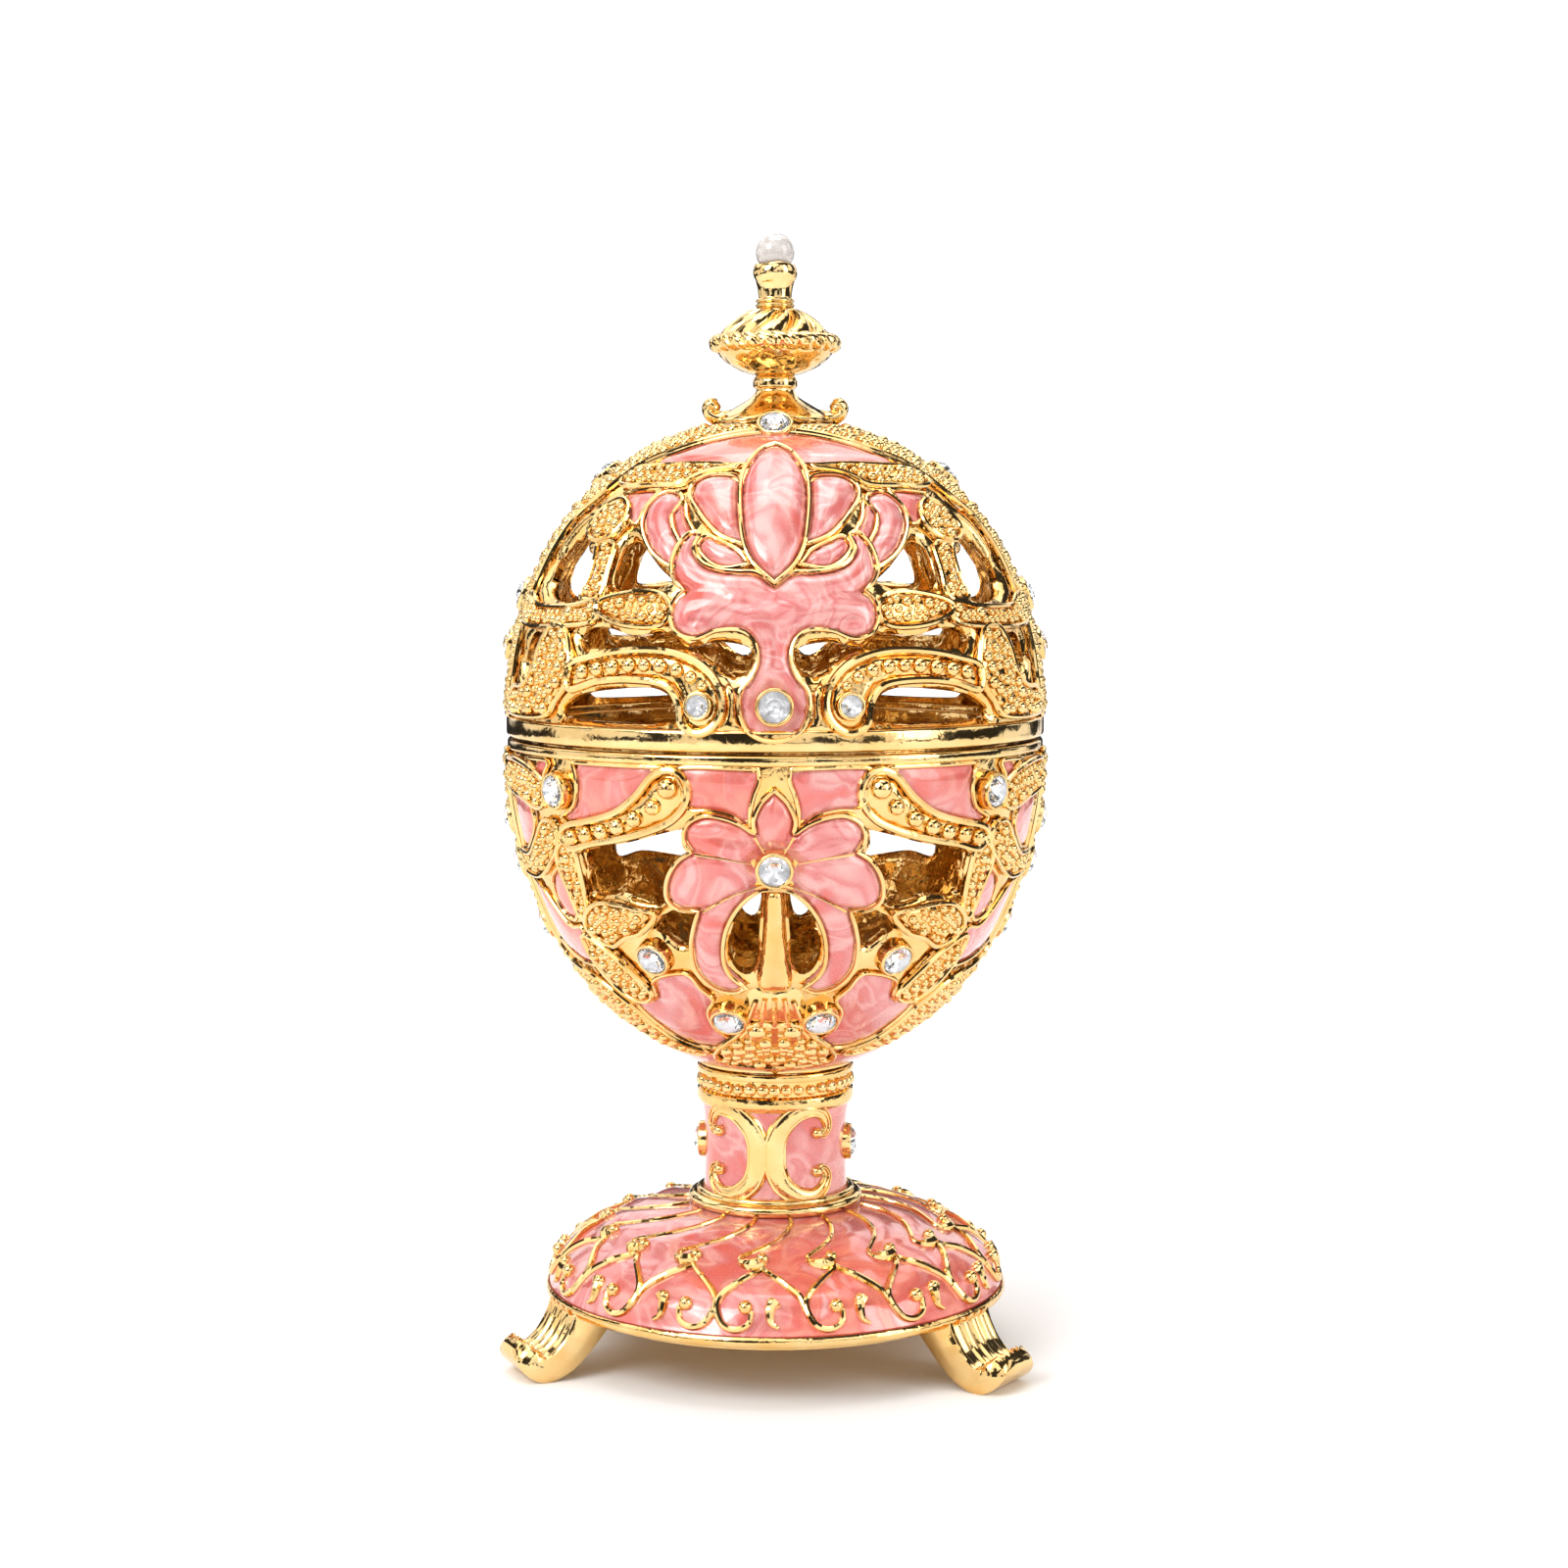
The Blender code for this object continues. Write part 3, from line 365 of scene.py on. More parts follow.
def addBeads(piece, half, places, axis, radius, level):
    for turn, rise, share in places:
        for sign, shift in copiesOf(axis):
            addBead(piece, *eggFrame(half, sign * turn + shift, rise, level), radius * share)


# Grains thrown at random inside an outline, each kept where it has room; the throws follow the area
def packedBeads(half, points, axis, radius, margin, seed, spread):
    throwsPerGrain, closest = 9, 0.84
    outline = smoothLine(half, mirrored(points, axis), 0.6 * mm)
    low, high = outline.min(axis=0), outline.max(axis=0)
    dice = random.Random(seed)
    across = radians(high[0] - low[0]) * radiusAt(half, (low[1] + high[1]) / 2)
    throws = int(throwsPerGrain * across * (arcAt(half, high[1]) - arcAt(half, low[1])) / radius ** 2)
    tries = np.array([(dice.uniform(low[0], high[0]), dice.uniform(low[1], high[1]),
                       dice.uniform(1 - spread, 1 + spread)) for _ in range(throws)])
    tries = tries[insideMask(tries[:, :2], outline)]
    tries = tries[lineDistance(half, tries[:, :2], [outline]) > margin]
    spots = eggPoints(half, tries[:, 0], tries[:, 1])
    kept = []
    for i, spot in enumerate(spots):
        near = np.linalg.norm(spots[kept] - spot, axis=1) if kept else np.array([1.0])
        if (near > radius * closest * (tries[kept, 2] + tries[i, 2] if kept else 0)).all():
            kept.append(i)
    return [tuple(place) for place in tries[kept]]


# Bodies turned round the upright axis from a profile of (radius, height), closed on itself or open
def turnedMesh(profile, sides, close=True, warp=None):
    points = []
    count = len(profile)
    for k in range(sides):
        a = 2 * pi * k / sides
        for radius, z in profile:
            r, shift, lift = warp(degrees(a), radius, z) if warp else (radius, 0.0, z)
            b = a + radians(shift)
            points.append((r * sin(b), -r * cos(b), lift))
    return np.array(points), gridFaces(sides, count, True, close, True)


def roundedBand(inner, outer, low, high, bevel):
    steps, profile = 3, []
    for cx, cz, start in ((outer - bevel, low + bevel, -90), (outer - bevel, high - bevel, 0),
                          (inner + bevel, high - bevel, 90), (inner + bevel, low + bevel, 180)):
        for s in range(steps + 1):
            a = radians(start + 90 * s / steps)
            profile.append((cx + bevel * cos(a), cz + bevel * sin(a)))
    return profile


def smoothProfile(points, parts):
    line = []
    count = len(points)
    for i in range(count - 1):
        p1, p2 = np.array(points[i], float), np.array(points[i + 1], float)
        if np.allclose(p1, p2):
            continue
        sharpStart = i == 0 or np.allclose(points[i - 1], p1)
        sharpEnd = i + 2 >= count or np.allclose(points[i + 2], p2)
        before = 2 * p1 - p2 if sharpStart else np.array(points[i - 1], float)
        after = 2 * p2 - p1 if sharpEnd else np.array(points[i + 2], float)
        line += [tuple(bend(before, p1, p2, after, k / parts)) for k in range(parts)]
    line.append(tuple(points[-1]))
    return line


# Shader maths written as expressions on sockets
class Value:
    def __init__(self, finish, socket):
        self.finish, self.socket = finish, socket

    def maths(self, operation, first, second):
        return self.finish.node("ShaderNodeMath", {"operation": operation}, {0: first, 1: second})

    def __add__(self, other):
        return self.maths("ADD", self, other)

    def __radd__(self, other):
        return self.maths("ADD", other, self)

    def __sub__(self, other):
        return self.maths("SUBTRACT", self, other)

    def __rsub__(self, other):
        return self.maths("SUBTRACT", other, self)

    def __mul__(self, other):
        return self.maths("MULTIPLY", self, other)

    def __rmul__(self, other):
        return self.maths("MULTIPLY", other, self)


class Nodes:
    def __init__(self, tree):
        self.tree = tree

    # One method for every other kind of node: type, settings, then socket values or links
    def node(self, kind, settings=None, sockets=None, output=0):
        made = self.tree.nodes.new(kind)
        for label, value in (settings or {}).items():
            if label == "stops":
                ramp = made.color_ramp
                while len(ramp.elements) < len(value):
                    ramp.elements.new(0.5)
                for element, (position, colour) in zip(ramp.elements, value):
                    element.position = position
                    element.color = (*colour, 1.0)
            else:
                setattr(made, label, value)
        for label, value in (sockets or {}).items():
            self.feed(made.inputs[label], value)
        return Value(self, made.outputs[output])

    def feed(self, socket, value):
        if isinstance(value, Value):
            self.tree.links.new(value.socket, socket)
        elif isinstance(value, tuple) and len(socket.default_value) == 4:
            socket.default_value = (*value, 1.0)
        else:
            socket.default_value = value

    def place(self):
        return self.node("ShaderNodeTexCoord", output="Object")

    def noise(self, where, scale, detail=3.0, roughness=0.55, distortion=0.0, output=0):
        values = {"Vector": where, "Scale": scale, "Detail": detail, "Roughness": roughness,
                  "Distortion": distortion}
        return self.node("ShaderNodeTexNoise", None, values, output)

    def ramp(self, value, stops):
        return self.node("ShaderNodeValToRGB", {"stops": stops}, {"Fac": value})

    def mix(self, factor, first, second, blend="MIX"):
        return self.node("ShaderNodeMix", {"data_type": "RGBA", "blend_type": blend},
                         {0: factor, 6: first, 7: second}, 2)

    def bump(self, height, strength, distance, normal=None):
        sockets = {"Height": height, "Strength": strength, "Distance": distance}
        if normal is not None:
            sockets["Normal"] = normal
        return self.node("ShaderNodeBump", None, sockets)


class Finish(Nodes):
    def __init__(self, name, **plain):
        self.material = bpy.data.materials.new(name)
        self.material.use_nodes = True
        super().__init__(self.material.node_tree)
        self.shader = self.tree.nodes["Principled BSDF"]
        for label, value in plain.items():
            socket = self.shader.inputs[label.replace("_", " ")]
            socket.default_value = (*value, 1.0) if isinstance(value, tuple) else value

    def give(self, label, value):
        self.feed(self.shader.inputs[label], value)


goldLook = {
    "bright": (0.90, 0.65, 0.30), "deep": (0.82, 0.49, 0.16), "roughness": 0.10, "wear": 0.10,
    "lump": 1.3 * mm, "lumpStrength": 0.22, "lumpDepth": 0.22 * mm,
    "grain": 0.22 * mm, "grainStrength": 0.035, "grainDepth": 0.04 * mm,
}
enamelLook = {
    "pale": (0.81, 0.355, 0.325), "coral": (0.72, 0.100, 0.068), "rose": (0.665, 0.145, 0.137),
    "peach": (0.84, 0.20, 0.12), "sparkTint": (1.0, 0.80, 0.78), "sparkShare": 0.13,
    "swirl": 6.4 * mm, "bend": 8.0 * mm, "spark": 0.08 * mm, "relief": 0.15 * mm, "roughness": 0.34,
}
stoneLook = {"index": 1.52, "clear": (1.0, 1.0, 1.0), "bluish": (0.97, 0.98, 1.0), "cloud": 2.0 * mm}
foilLook = {"bright": (0.97, 0.97, 0.98), "shade": (0.74, 0.74, 0.77), "cloud": mm / 0.9}
# The pearl's grey shade colour is painted shade laid over it in broad noise patches
pearlLook = {"white": (0.64, 0.59, 0.56), "shade": (0.50, 0.45, 0.42), "cloud": mm / 0.22}


# Gold whose tone varies at random between bright and deep; the paintedShade offset moves a whole finish towards
# the deep colour as painted shade
def makeGold(name, paintedShade=0.0, lumpy=1.0):
    gold = Finish(name, Metallic=1.0, Roughness=goldLook["roughness"])
    where = gold.place()
    broad = gold.noise(where, 0.35 / goldLook["lump"], 2.0)
    fine = gold.noise(where, 1 / goldLook["grain"], 3.0)
    lumps = gold.noise(where, 1 / goldLook["lump"], 2.0, 0.4, 0.6)
    # Painted shade: the offset darkens the base colour of every surface with this finish
    gold.give("Base Color", gold.ramp(broad * 0.8 + fine * 0.2 + paintedShade,
                                      [(0.35, goldLook["bright"]), (0.72, goldLook["deep"])]))
    gold.give("Roughness", fine * goldLook["wear"] + (goldLook["roughness"] - goldLook["wear"] * 0.5))
    soft = gold.bump(lumps, goldLook["lumpStrength"] * lumpy, goldLook["lumpDepth"])
    gold.give("Normal", gold.bump(fine, goldLook["grainStrength"] * lumpy, goldLook["grainDepth"], soft))
    return gold.material


def makeEnamel():
    enamel = Finish("pearly pink enamel", Metallic=0.18, Coat_Weight=1.0, Coat_Roughness=0.03,
                    Coat_IOR=1.5, Specular_IOR_Level=0.5)
    where = enamel.place()
    pale, coral, rose = enamelLook["pale"], enamelLook["coral"], enamelLook["rose"]
    drift = enamel.noise(where, 0.45 / enamelLook["swirl"], 2.0, 0.5, 0.0, "Color")
    bent = enamel.node("ShaderNodeVectorMath", {"operation": "MULTIPLY_ADD"},
                       {0: drift, 1: (enamelLook["bend"],) * 3, 2: where})
    swirl = enamel.noise(bent, 1 / enamelLook["swirl"], 2.0, 0.35, 1.8)
    patch = enamel.noise(where, 0.22 / enamelLook["swirl"], 2.0)
    spark = enamel.node("ShaderNodeTexVoronoi", None, {"Vector": where, "Scale": 1 / enamelLook["spark"]},
                        "Color")
    grey = enamel.node("ShaderNodeRGBToBW", None, {0: spark})
    swirled = enamel.ramp(swirl, [(0.30, coral), (0.42, rose), (0.52, pale), (0.60, rose), (0.74, pale)])
    warm = enamel.ramp(swirl, [(0.32, coral), (0.48, enamelLook["peach"]), (0.56, coral), (0.70, pale)])
    colour = enamel.mix(enamel.ramp(patch, [(0.45, (0, 0, 0)), (0.60, (1, 1, 1))]), swirled, warm)
    enamel.give("Base Color", enamel.mix(grey * enamelLook["sparkShare"], colour, enamelLook["sparkTint"]))
    enamel.give("Roughness", enamelLook["roughness"] - grey * 0.14)
    enamel.give("Normal", enamel.bump(swirl, 0.10, enamelLook["relief"]))
    return enamel.material


def makeStone():
    stone = Finish("clear cut stone", Roughness=0.0, IOR=stoneLook["index"], Transmission_Weight=1.0)
    cloud = stone.noise(stone.place(), 1 / stoneLook["cloud"], 2.0)
    stone.give("Base Color", stone.ramp(cloud, [(0.3, stoneLook["clear"]), (0.8, stoneLook["bluish"])]))
    return stone.material


def makeFoil():
    foil = Finish("silver foil", Metallic=1.0, Roughness=0.38)
    cloud = foil.noise(foil.place(), 1 / foilLook["cloud"], 2.0)
    foil.give("Base Color", foil.ramp(cloud, [(0.3, foilLook["bright"]), (0.75, foilLook["shade"])]))
    return foil.material


# Painted shade: broad noise patches turn the pearl from white towards grey, standing for its shading
def makePearl():
    pearl = Finish("white pearl", Roughness=0.22, Coat_Weight=1.0, Coat_Roughness=0.05)
    cloud = pearl.noise(pearl.place(), 1 / pearlLook["cloud"], 1.0)
    pearl.give("Base Color", pearl.ramp(cloud, [(0.35, pearlLook["white"]), (0.75, pearlLook["shade"])]))
    return pearl.material


gold = makeGold("polished gold")
# The cast gold of the sunken ground, window walls and pedestal is darkened by painted shade standing for the
# shade in its recesses
shadedCastGold = makeGold("cast gold", 0.08, 1.7)
enamel = makeEnamel()
crystal = makeStone()
foil = makeFoil()
pearlFinish = makePearl()
print("finishes made")

# Outlines on the lid in degrees of turn and rise, for the quarter from the front to the right-hand side.
# Each comes with its axis of symmetry or None, and petals and leaves with their height in millimetres.
lidPetals = {
    "outer": (None, 0.3, [(23, 30.8), (29, 33), (34, 37.2), (37, 41.5), (37, 45.5), (34, 48.3),
        (29.5, 48.3), (26.6, 46.2), (28, 42.6), (26.2, 39), (23, 35.2)]),
    "hollow": (None, 0.12, [(20.6, 38.2), (23.7, 42), (26, 46.2), (28, 44.6), (27.6, 41.5), (25.6, 38.4),
        (22.6, 35.8)]),
    "second": (None, 0.42, [(7, 35.2), (7, 35.2), (14, 37.8), (20.5, 43), (25, 47.5), (25, 51), (21, 53.2),
        (14, 53.2), (10.6, 51.6), (9.8, 47), (8.6, 41)]),
    "centre": (0, 0.62, [(0, 64), (0, 64), (5, 62), (9, 57), (10.2, 52), (9.8, 47), (8.6, 41), (7, 35.2),
        (4.4, 31), (0, 27.5), (0, 27.5)]),
    "leafDark": (None, 0.3, [(5.6, 31.4), (5.6, 31.4), (8.4, 34.2), (12.6, 36.2), (16.8, 37.4),
        (18.6, 35.2), (15.8, 32.2), (11.6, 30.6)]),
}
lidBody = (0, 0.46, [(0, 27.2), (0, 27.2), (4, 29.6), (8.4, 29.8), (12.4, 30.2), (16.6, 31.6), (19.2, 34.6),
    (18.6, 37.6), (21, 38), (23.4, 35.2), (24, 31), (22.4, 28), (19.9, 26.2), (19.9, 26.2), (21.8, 24.6),
    (22.4, 21.6), (20.6, 18.6), (16.4, 17.5), (11.8, 18.9), (7, 19), (4.3, 17.4), (3.3, 14.6), (4.2, 11.6),
    (6.5, 9.2), (6.9, 6.4), (5.6, 3.4), (3, 2), (0, 1.6)])
bodyCreases = [[(1.5, 24.6), (7, 23.4), (13, 25.6), (19, 26.1)], [(5.4, 19.8), (10.5, 21.2), (17, 20.6)],
    [(8.5, 31.2), (13.5, 32.2), (17.4, 35.2)]]
lidFields = {
    "crescent": (0, [(0, 72.6), (10, 72.2), (20, 71), (30, 68.8), (40, 65.4), (50, 60.8), (58, 57.2),
        (60, 56.4), (60, 56.4), (50, 57.1), (40, 57.5), (26, 57.6), (12, 57.4), (0, 57.4)]),
    "corner": (None, [(36.4, 49.6), (36.4, 49.6), (48, 48.9), (52, 48.2), (47.4, 45.6), (42.4, 41.6),
        (38.6, 40.6), (38.4, 45)]),
}
lidLeaves = {
    "paisley": (None, 0.4, [(43.6, 44), (42.8, 40), (46, 36.9), (52, 36.6), (55.8, 38.8), (55.9, 42),
        (53.5, 45), (48.5, 46.4)]),
    "lozenge": (None, 0.36, [(22.2, 22.5), (24.5, 25.2), (29, 26), (35, 25.4), (40.5, 24.2), (42, 22.5),
        (36, 20.2), (29, 19.4), (24, 19.9)]),
    "bandA": (None, 0.34, [(12.6, 56), (25, 56.9), (40, 56.7), (54, 56.2), (58.6, 53.4), (57, 51),
        (50, 50.2), (40, 50.3), (30, 50.6), (26.5, 52.8), (21, 54.8)]),
    "strap": (None, 0.3, [(42.6, 35.6), (41.6, 30), (41.8, 24.8), (47.6, 24.6), (47, 28.5), (47.4, 32.5),
        (48.6, 35.6)]),
    "knot": (None, 0.38, [(47.6, 14.6), (50.6, 18.9), (56, 19.2), (59.4, 15.6), (61, 11.7), (65, 8.7),
        (73, 8), (76, 4.3), (56, 4), (50.4, 6.8), (47, 10.6)]),
    "bar": (None, 0.3, [(42.4, 23.9), (50, 23), (60, 22.8), (67, 23.2), (75, 25.2), (76.6, 20.4), (67, 19),
        (52, 19.2), (42.6, 20.2)]),
    "side": (90, 0.2, [(90, 78.2), (60, 77.6), (30, 76.9), (6, 76.2), (6, 76.2), (12, 73.8), (24, 71.6),
        (36, 68.2), (48, 63.2), (58, 58.2), (61.8, 53), (66.3, 47.5), (72.3, 42.8), (74.4, 35), (74.2, 26),
        (75.6, 20), (76.2, 14), (76, 9), (79, 3.6), (90, 3.6)]),
}
lidArm = [(46.8, 12.4), (40, 14.1), (32, 15.2), (24, 15.4), (18, 14.4), (13.8, 12.5), (10.9, 9.5),
    (10.2, 6.4), (11.8, 3.8), (15, 2.6), (18.4, 3.8), (19.2, 7), (22.3, 9.8), (30, 10.5), (38, 10),
    (46, 8.6)]
lidArmBeads = [(42.5, 11.5, 1), (38.5, 12, 1), (34.5, 12.4, 1.05), (30.5, 12.8, 1.05), (27, 12.9, 0.9),
    (23.4, 12.8, 1), (19.8, 12.2, 0.95), (16.8, 11.1, 0.85), (14.4, 9.7, 0.7)]
lidWeb = [(5.6, 2.6), (7.4, 5.4), (7.2, 8.6), (9.6, 10.4), (10.6, 8.4), (10.4, 5.4), (13, 2.6)]
lidWindows = {
    "side": [(48.6, 29), (49.6, 34.2), (55.5, 35.3), (57.5, 41.5), (61.5, 44.2), (68, 39.8), (71, 33),
        (69, 27.5), (61, 24.4), (51.5, 24.8)],
    "upper": [(24.2, 28.6), (28.5, 31.6), (34.5, 35.8), (39.6, 37.6), (41.4, 34), (40.6, 28), (36, 26.8),
        (28.5, 27.4)],
    "middle": [(5.4, 16.6), (12, 17.6), (18.8, 16.4), (24, 18.9), (32, 18.4), (40.6, 19.8), (46.4, 18.6),
        (45.4, 16), (32, 16), (22, 16.3), (14.6, 14.8), (9.8, 11.8), (7, 11.4), (4.7, 13.8)],
    "low": [(19.9, 4.2), (20.8, 7.2), (26, 9.4), (37, 9), (46, 7.6), (49.6, 4.2)],
    "small": [(61, 16.6), (66, 18.2), (71.8, 17.4), (73.4, 12), (70.6, 9.4), (63.8, 10.4)],
}

# The same for the bowl, with the rise counted down from the seam
bowlFlower = (0, 0.42, [(0, 5.4), (0, 5.4), (2.6, 7.4), (4.2, 10.2), (3.9, 12.2), (6.4, 10.9), (10, 9.8),
    (14.2, 9.5), (17.6, 10.9), (18.6, 13.2), (17.2, 15.4), (17.2, 15.4), (20.4, 17), (23.2, 20.2),
    (23.8, 23.6), (21.2, 25.3), (16.8, 25.4), (16.8, 25.4), (18.6, 28.6), (20, 32.4), (20, 37.2),
    (16.4, 40.8), (11, 41.8), (7.4, 40.6), (7.4, 40.6), (10.9, 38.4), (12.4, 35), (11.3, 29.5), (8, 24.8),
    (3.6, 21.8), (0, 21.4)])
flowerCreases = [[(2, 15.2), (3.9, 12.6)], [(4.4, 17), (10, 16.2), (16.2, 15.5)], [(3.2, 20.6), (9.5, 22.6),
    (15.6, 25.2)], [(6.5, 13.4), (10.5, 12.6), (14.5, 12.6)], [(8.5, 19.4), (13.5, 20.2), (18.5, 21.6)]]
bowlTongue = (0, 0.5, [(0, 21.4), (2, 22.2), (2.6, 28), (3.4, 34), (4.8, 39.6), (4.2, 41.6), (0, 42)])
bowlFields = {
    "rimInner": (None, [(3.2, 2.2), (3.2, 2.2), (19, 2.3), (18.6, 5.6), (17.8, 8.6), (13, 8.8), (8.4, 9.6),
        (5.2, 11.4), (4.8, 8.6), (4, 6.2), (3, 4.2)]),
    "rimOuter": (None, [(22.6, 2.2), (22.6, 2.2), (45.6, 2.2), (45.6, 2.2), (44.6, 5.6), (46, 9.2),
        (50.6, 11.2), (47, 12.4), (40, 11.2), (33, 9.4), (28.4, 6.6), (25, 3.8)]),
    "rimSide": (None, [(54.4, 2.4), (64, 2.4), (64, 2.4), (59.5, 4.4), (56.6, 6.6), (55.6, 4.4)]),
    "sideTop": (None, [(64.6, 9.8), (71, 8.8), (77.8, 8.4), (77.8, 8.4), (77.2, 18.2), (77.2, 18.2),
        (70, 17.4), (63, 13.4)]),
    "sidePatch": (None, [(50.4, 20.6), (55, 19.8), (60.4, 22.2), (62.2, 25.6), (60.6, 28.8), (55.6, 29.6),
        (52.6, 26.4)]),
    "shoulder": (None, [(54.2, 31.4), (61, 31), (70, 24.8), (78.4, 23), (78.4, 23), (80, 35.6), (80, 35.6),
        (70, 38.2), (61, 39.2), (56.4, 38.4)]),
    "lower": (None, [(20.6, 41.6), (24, 38.4), (34.6, 40.6), (37.6, 45.4), (47.6, 47), (45.6, 52.8),
        (41, 56.6), (33, 59.2), (24.6, 59.6), (16.6, 56.6), (20.4, 52.4), (20.6, 47.6), (17.8, 44.4)]),
    "foot": (90, [(90, 52.2), (72, 54), (60, 57.4), (50, 61), (38, 62.6), (27.4, 62.6), (30.6, 64.4),
        (27, 67.6), (14, 69), (0.6, 69.2), (0.6, 73.6), (14, 73.6), (36, 73.6), (60, 73.6), (90, 73.4)]),
}
bowlLeaves = {
    "panel": (None, 0.32, [(27.6, 26.6), (33, 25.6), (39, 25.1), (44.5, 25.6), (49.6, 28.2), (50.6, 31.2),
        (44, 33.6), (38, 31.6), (32.6, 30.2)]),
    "strap": (None, 0.3, [(47.2, 17), (50.5, 15.2), (54.6, 18.2), (53.2, 23.6), (52, 28.6), (48, 26.4)]),
    "loop": (None, 0.34, [(55.8, 5.8), (61, 4), (69, 3), (78.8, 3), (78.8, 3), (78.8, 7.8), (78.8, 7.8),
        (68, 8.8), (59, 10.2), (55.2, 8.6)]),
    "crossing": (None, 0.36, [(53.2, 12.4), (57.5, 12.2), (62, 15.2), (69, 18.4), (78.8, 18.6),
        (78.8, 18.6), (78.8, 22.4), (78.8, 22.4), (66, 22.2), (57, 18.8), (52.2, 15.2)]),
    "side": (90, 0.32, [(90, 2.6), (80.2, 2.8), (79.8, 14), (80.2, 24), (81.4, 36), (76.4, 39.8),
        (66, 41.2), (58, 43), (52.5, 46.2), (49.3, 48.9), (47.1, 52.7), (43.5, 56.6), (37.5, 59.2),
        (30, 60.8), (36, 62.2), (48, 60.8), (58, 57.2), (66, 53.8), (77, 51.4), (90, 50.8)]),
    "spear": (None, 0.4, [(54.6, 32.6), (51.2, 32.6), (46, 35), (41, 38.8), (37, 43.4), (40, 45.4),
        (46, 45.6), (51.4, 42.6), (54.8, 37)]),
}
bowlArm = [(17.4, 7), (18, 4), (21, 2.6), (24.8, 3.6), (28.8, 6.9), (34, 9.6), (41, 11.2), (48, 12.3),
    (51, 14), (48, 16.1), (41, 14.9), (33, 13.7), (26, 12.2), (20.5, 10.2)]
bowlArmBeads = [(21.4, 5.4, 1.35), (24.9, 8.4, 1), (29.3, 10.4, 1.05), (33.6, 11.8, 1.05), (38, 12.8, 1),
    (42.5, 13.5, 1.05), (47, 14.2, 1)]
bowlFan = (0, 0.36, [(0, 50.4), (7.4, 50.2), (14.4, 54.4), (22.4, 58.6), (27.4, 62.4), (25.4, 65.6),
    (12, 67.2), (0, 67.4)])
bowlFolds = [[(0, 41.8), (5.6, 41.4), (8.4, 44.2), (10.4, 48.2), (7.4, 50.4), (0, 50.8)], [(0, 43),
    (0, 50)], [(2.6, 43), (4.4, 50)], [(5.2, 43.6), (8.2, 49)]]
bowlWindows = {
    "upper": [(18.6, 12.2), (25, 13.2), (32, 14.7), (40, 16), (45.8, 17.2), (46.6, 21), (47, 25),
        (39, 24.4), (32, 25.2), (26.6, 26), (24.6, 25.4), (24.6, 21.8), (20.8, 18.4), (17.2, 16.4),
        (19.2, 14.6)],
    "lower": [(15.6, 25.2), (18.6, 26.2), (24.4, 26.4), (27.2, 28), (30, 30.6), (27, 31.6), (23.6, 33.6),
        (20.6, 32.4), (18.6, 28.6)],
    "slot": [(3, 22.6), (5.2, 22.8), (8.4, 26.6), (10.8, 31), (11.4, 35.6), (9.4, 38.6), (6.6, 39),
        (4.8, 36.6), (3.6, 30)],
}


# The cast shell of one half: both skins, the walls of its windows and the edge bands
casting = {"grid": 0.85 * mm, "sink": 0.12 * mm, "edge": 0.9 * mm, "drop": 0.55 * mm, "lump": 0.10 * mm}


def lumps(places, seed, size=0.17):
    u, v = places[:, 0] * size, places[:, 1] * size * 1.3
    wave = np.sin(1.9 * u + 1.3 * np.sin(1.1 * v + seed)) * np.cos(1.7 * v + 0.9 * np.sin(1.3 * u + seed * 2))
    return wave + 0.5 * np.sin(4.1 * u + 2.3 * v + seed) * np.cos(3.7 * v - 2.9 * u)


def addCasting(piece, half, windows, seed):
    spacing = casting["grid"]
    holes = [smoothLine(half, points, spacing * 0.8) for points in windows.values()]
    low, high = half["low"], half["high"]
    rimTurns = np.linspace(0, 90, int(radians(90) * egg["radius"] / spacing) + 1)
    topTurns = np.linspace(0, 90, max(6, int(radians(90) * half["topRadius"] / spacing)) + 1)
    sideRises = riseAt(half, np.linspace(arcAt(half, low), arcAt(half, high),
                                         int((arcAt(half, high) - arcAt(half, low)) / spacing) + 1))[1:-1]
    outline = np.array([(t, low) for t in rimTurns] + [(90, r) for r in sideRises]
                       + [(t, high) for t in topTurns[::-1]] + [(0, r) for r in sideRises[::-1]])
    inner = gridPoints(half, 0, 90, low, high, spacing)
    inner = inner[lineDistance(half, inner, [outline]) > spacing * 0.5]
    for hole in holes:
        inner = inner[~insideMask(inner, hole)]
    inner = inner[lineDistance(half, inner, holes) > spacing * 0.35]
    places, faces = triangulated(half, outline, holes, inner)
    away = lineDistance(half, places, holes)
    fall = 1 - np.clip(away / casting["edge"], 0, 1)
    rounding = casting["drop"] * (1 - np.sqrt(1 - np.clip(fall, 0, 1) ** 2))
    bump = lumps(places, seed) * casting["lump"]
    outer = -casting["sink"] - rounding + bump * np.clip(away / casting["edge"], 0, 1)
    inside = -egg["wall"] + rounding * 0.7 - bump * 0.6
    count = len(places)
    quarter = [list(f) for f in faces] + [[count + i for i in f[::-1]] for f in faces]
    lookup = {(round(u, 5), round(v, 5)): i for i, (u, v) in enumerate(places)}
    edges = [list(hole) + [hole[0]] for hole in holes]
    edges += [[(turn, rise) for turn in turns] for turns, rise in ((rimTurns, low), (topTurns, high))]
    for edge in edges:
        ring = [lookup[(round(u, 5), round(v, 5))] for u, v in edge]
        quarter += [[a, b, count + b, count + a] for a, b in zip(ring, ring[1:])]
    turn = np.concatenate([places[:, 0]] * 2)
    rise = np.concatenate([places[:, 1]] * 2)
    level = np.concatenate([outer, inside])
    for sign, shift in copiesOf(None):
        piece.add(eggPoints(half, sign * turn + shift, rise, level), quarter)


# A bezel: a round cup with a rolled edge, its stone with cut facets, and silver foil under the stone
bezel = {"wall": 0.36 * mm, "height": 0.86 * mm, "seat": 0.86 * mm * 0.93, "root": -0.4 * mm}
cut = {"table": 0.52, "crown": 0.38, "star": 0.80, "girdle": 0.10, "depth": 0.36}


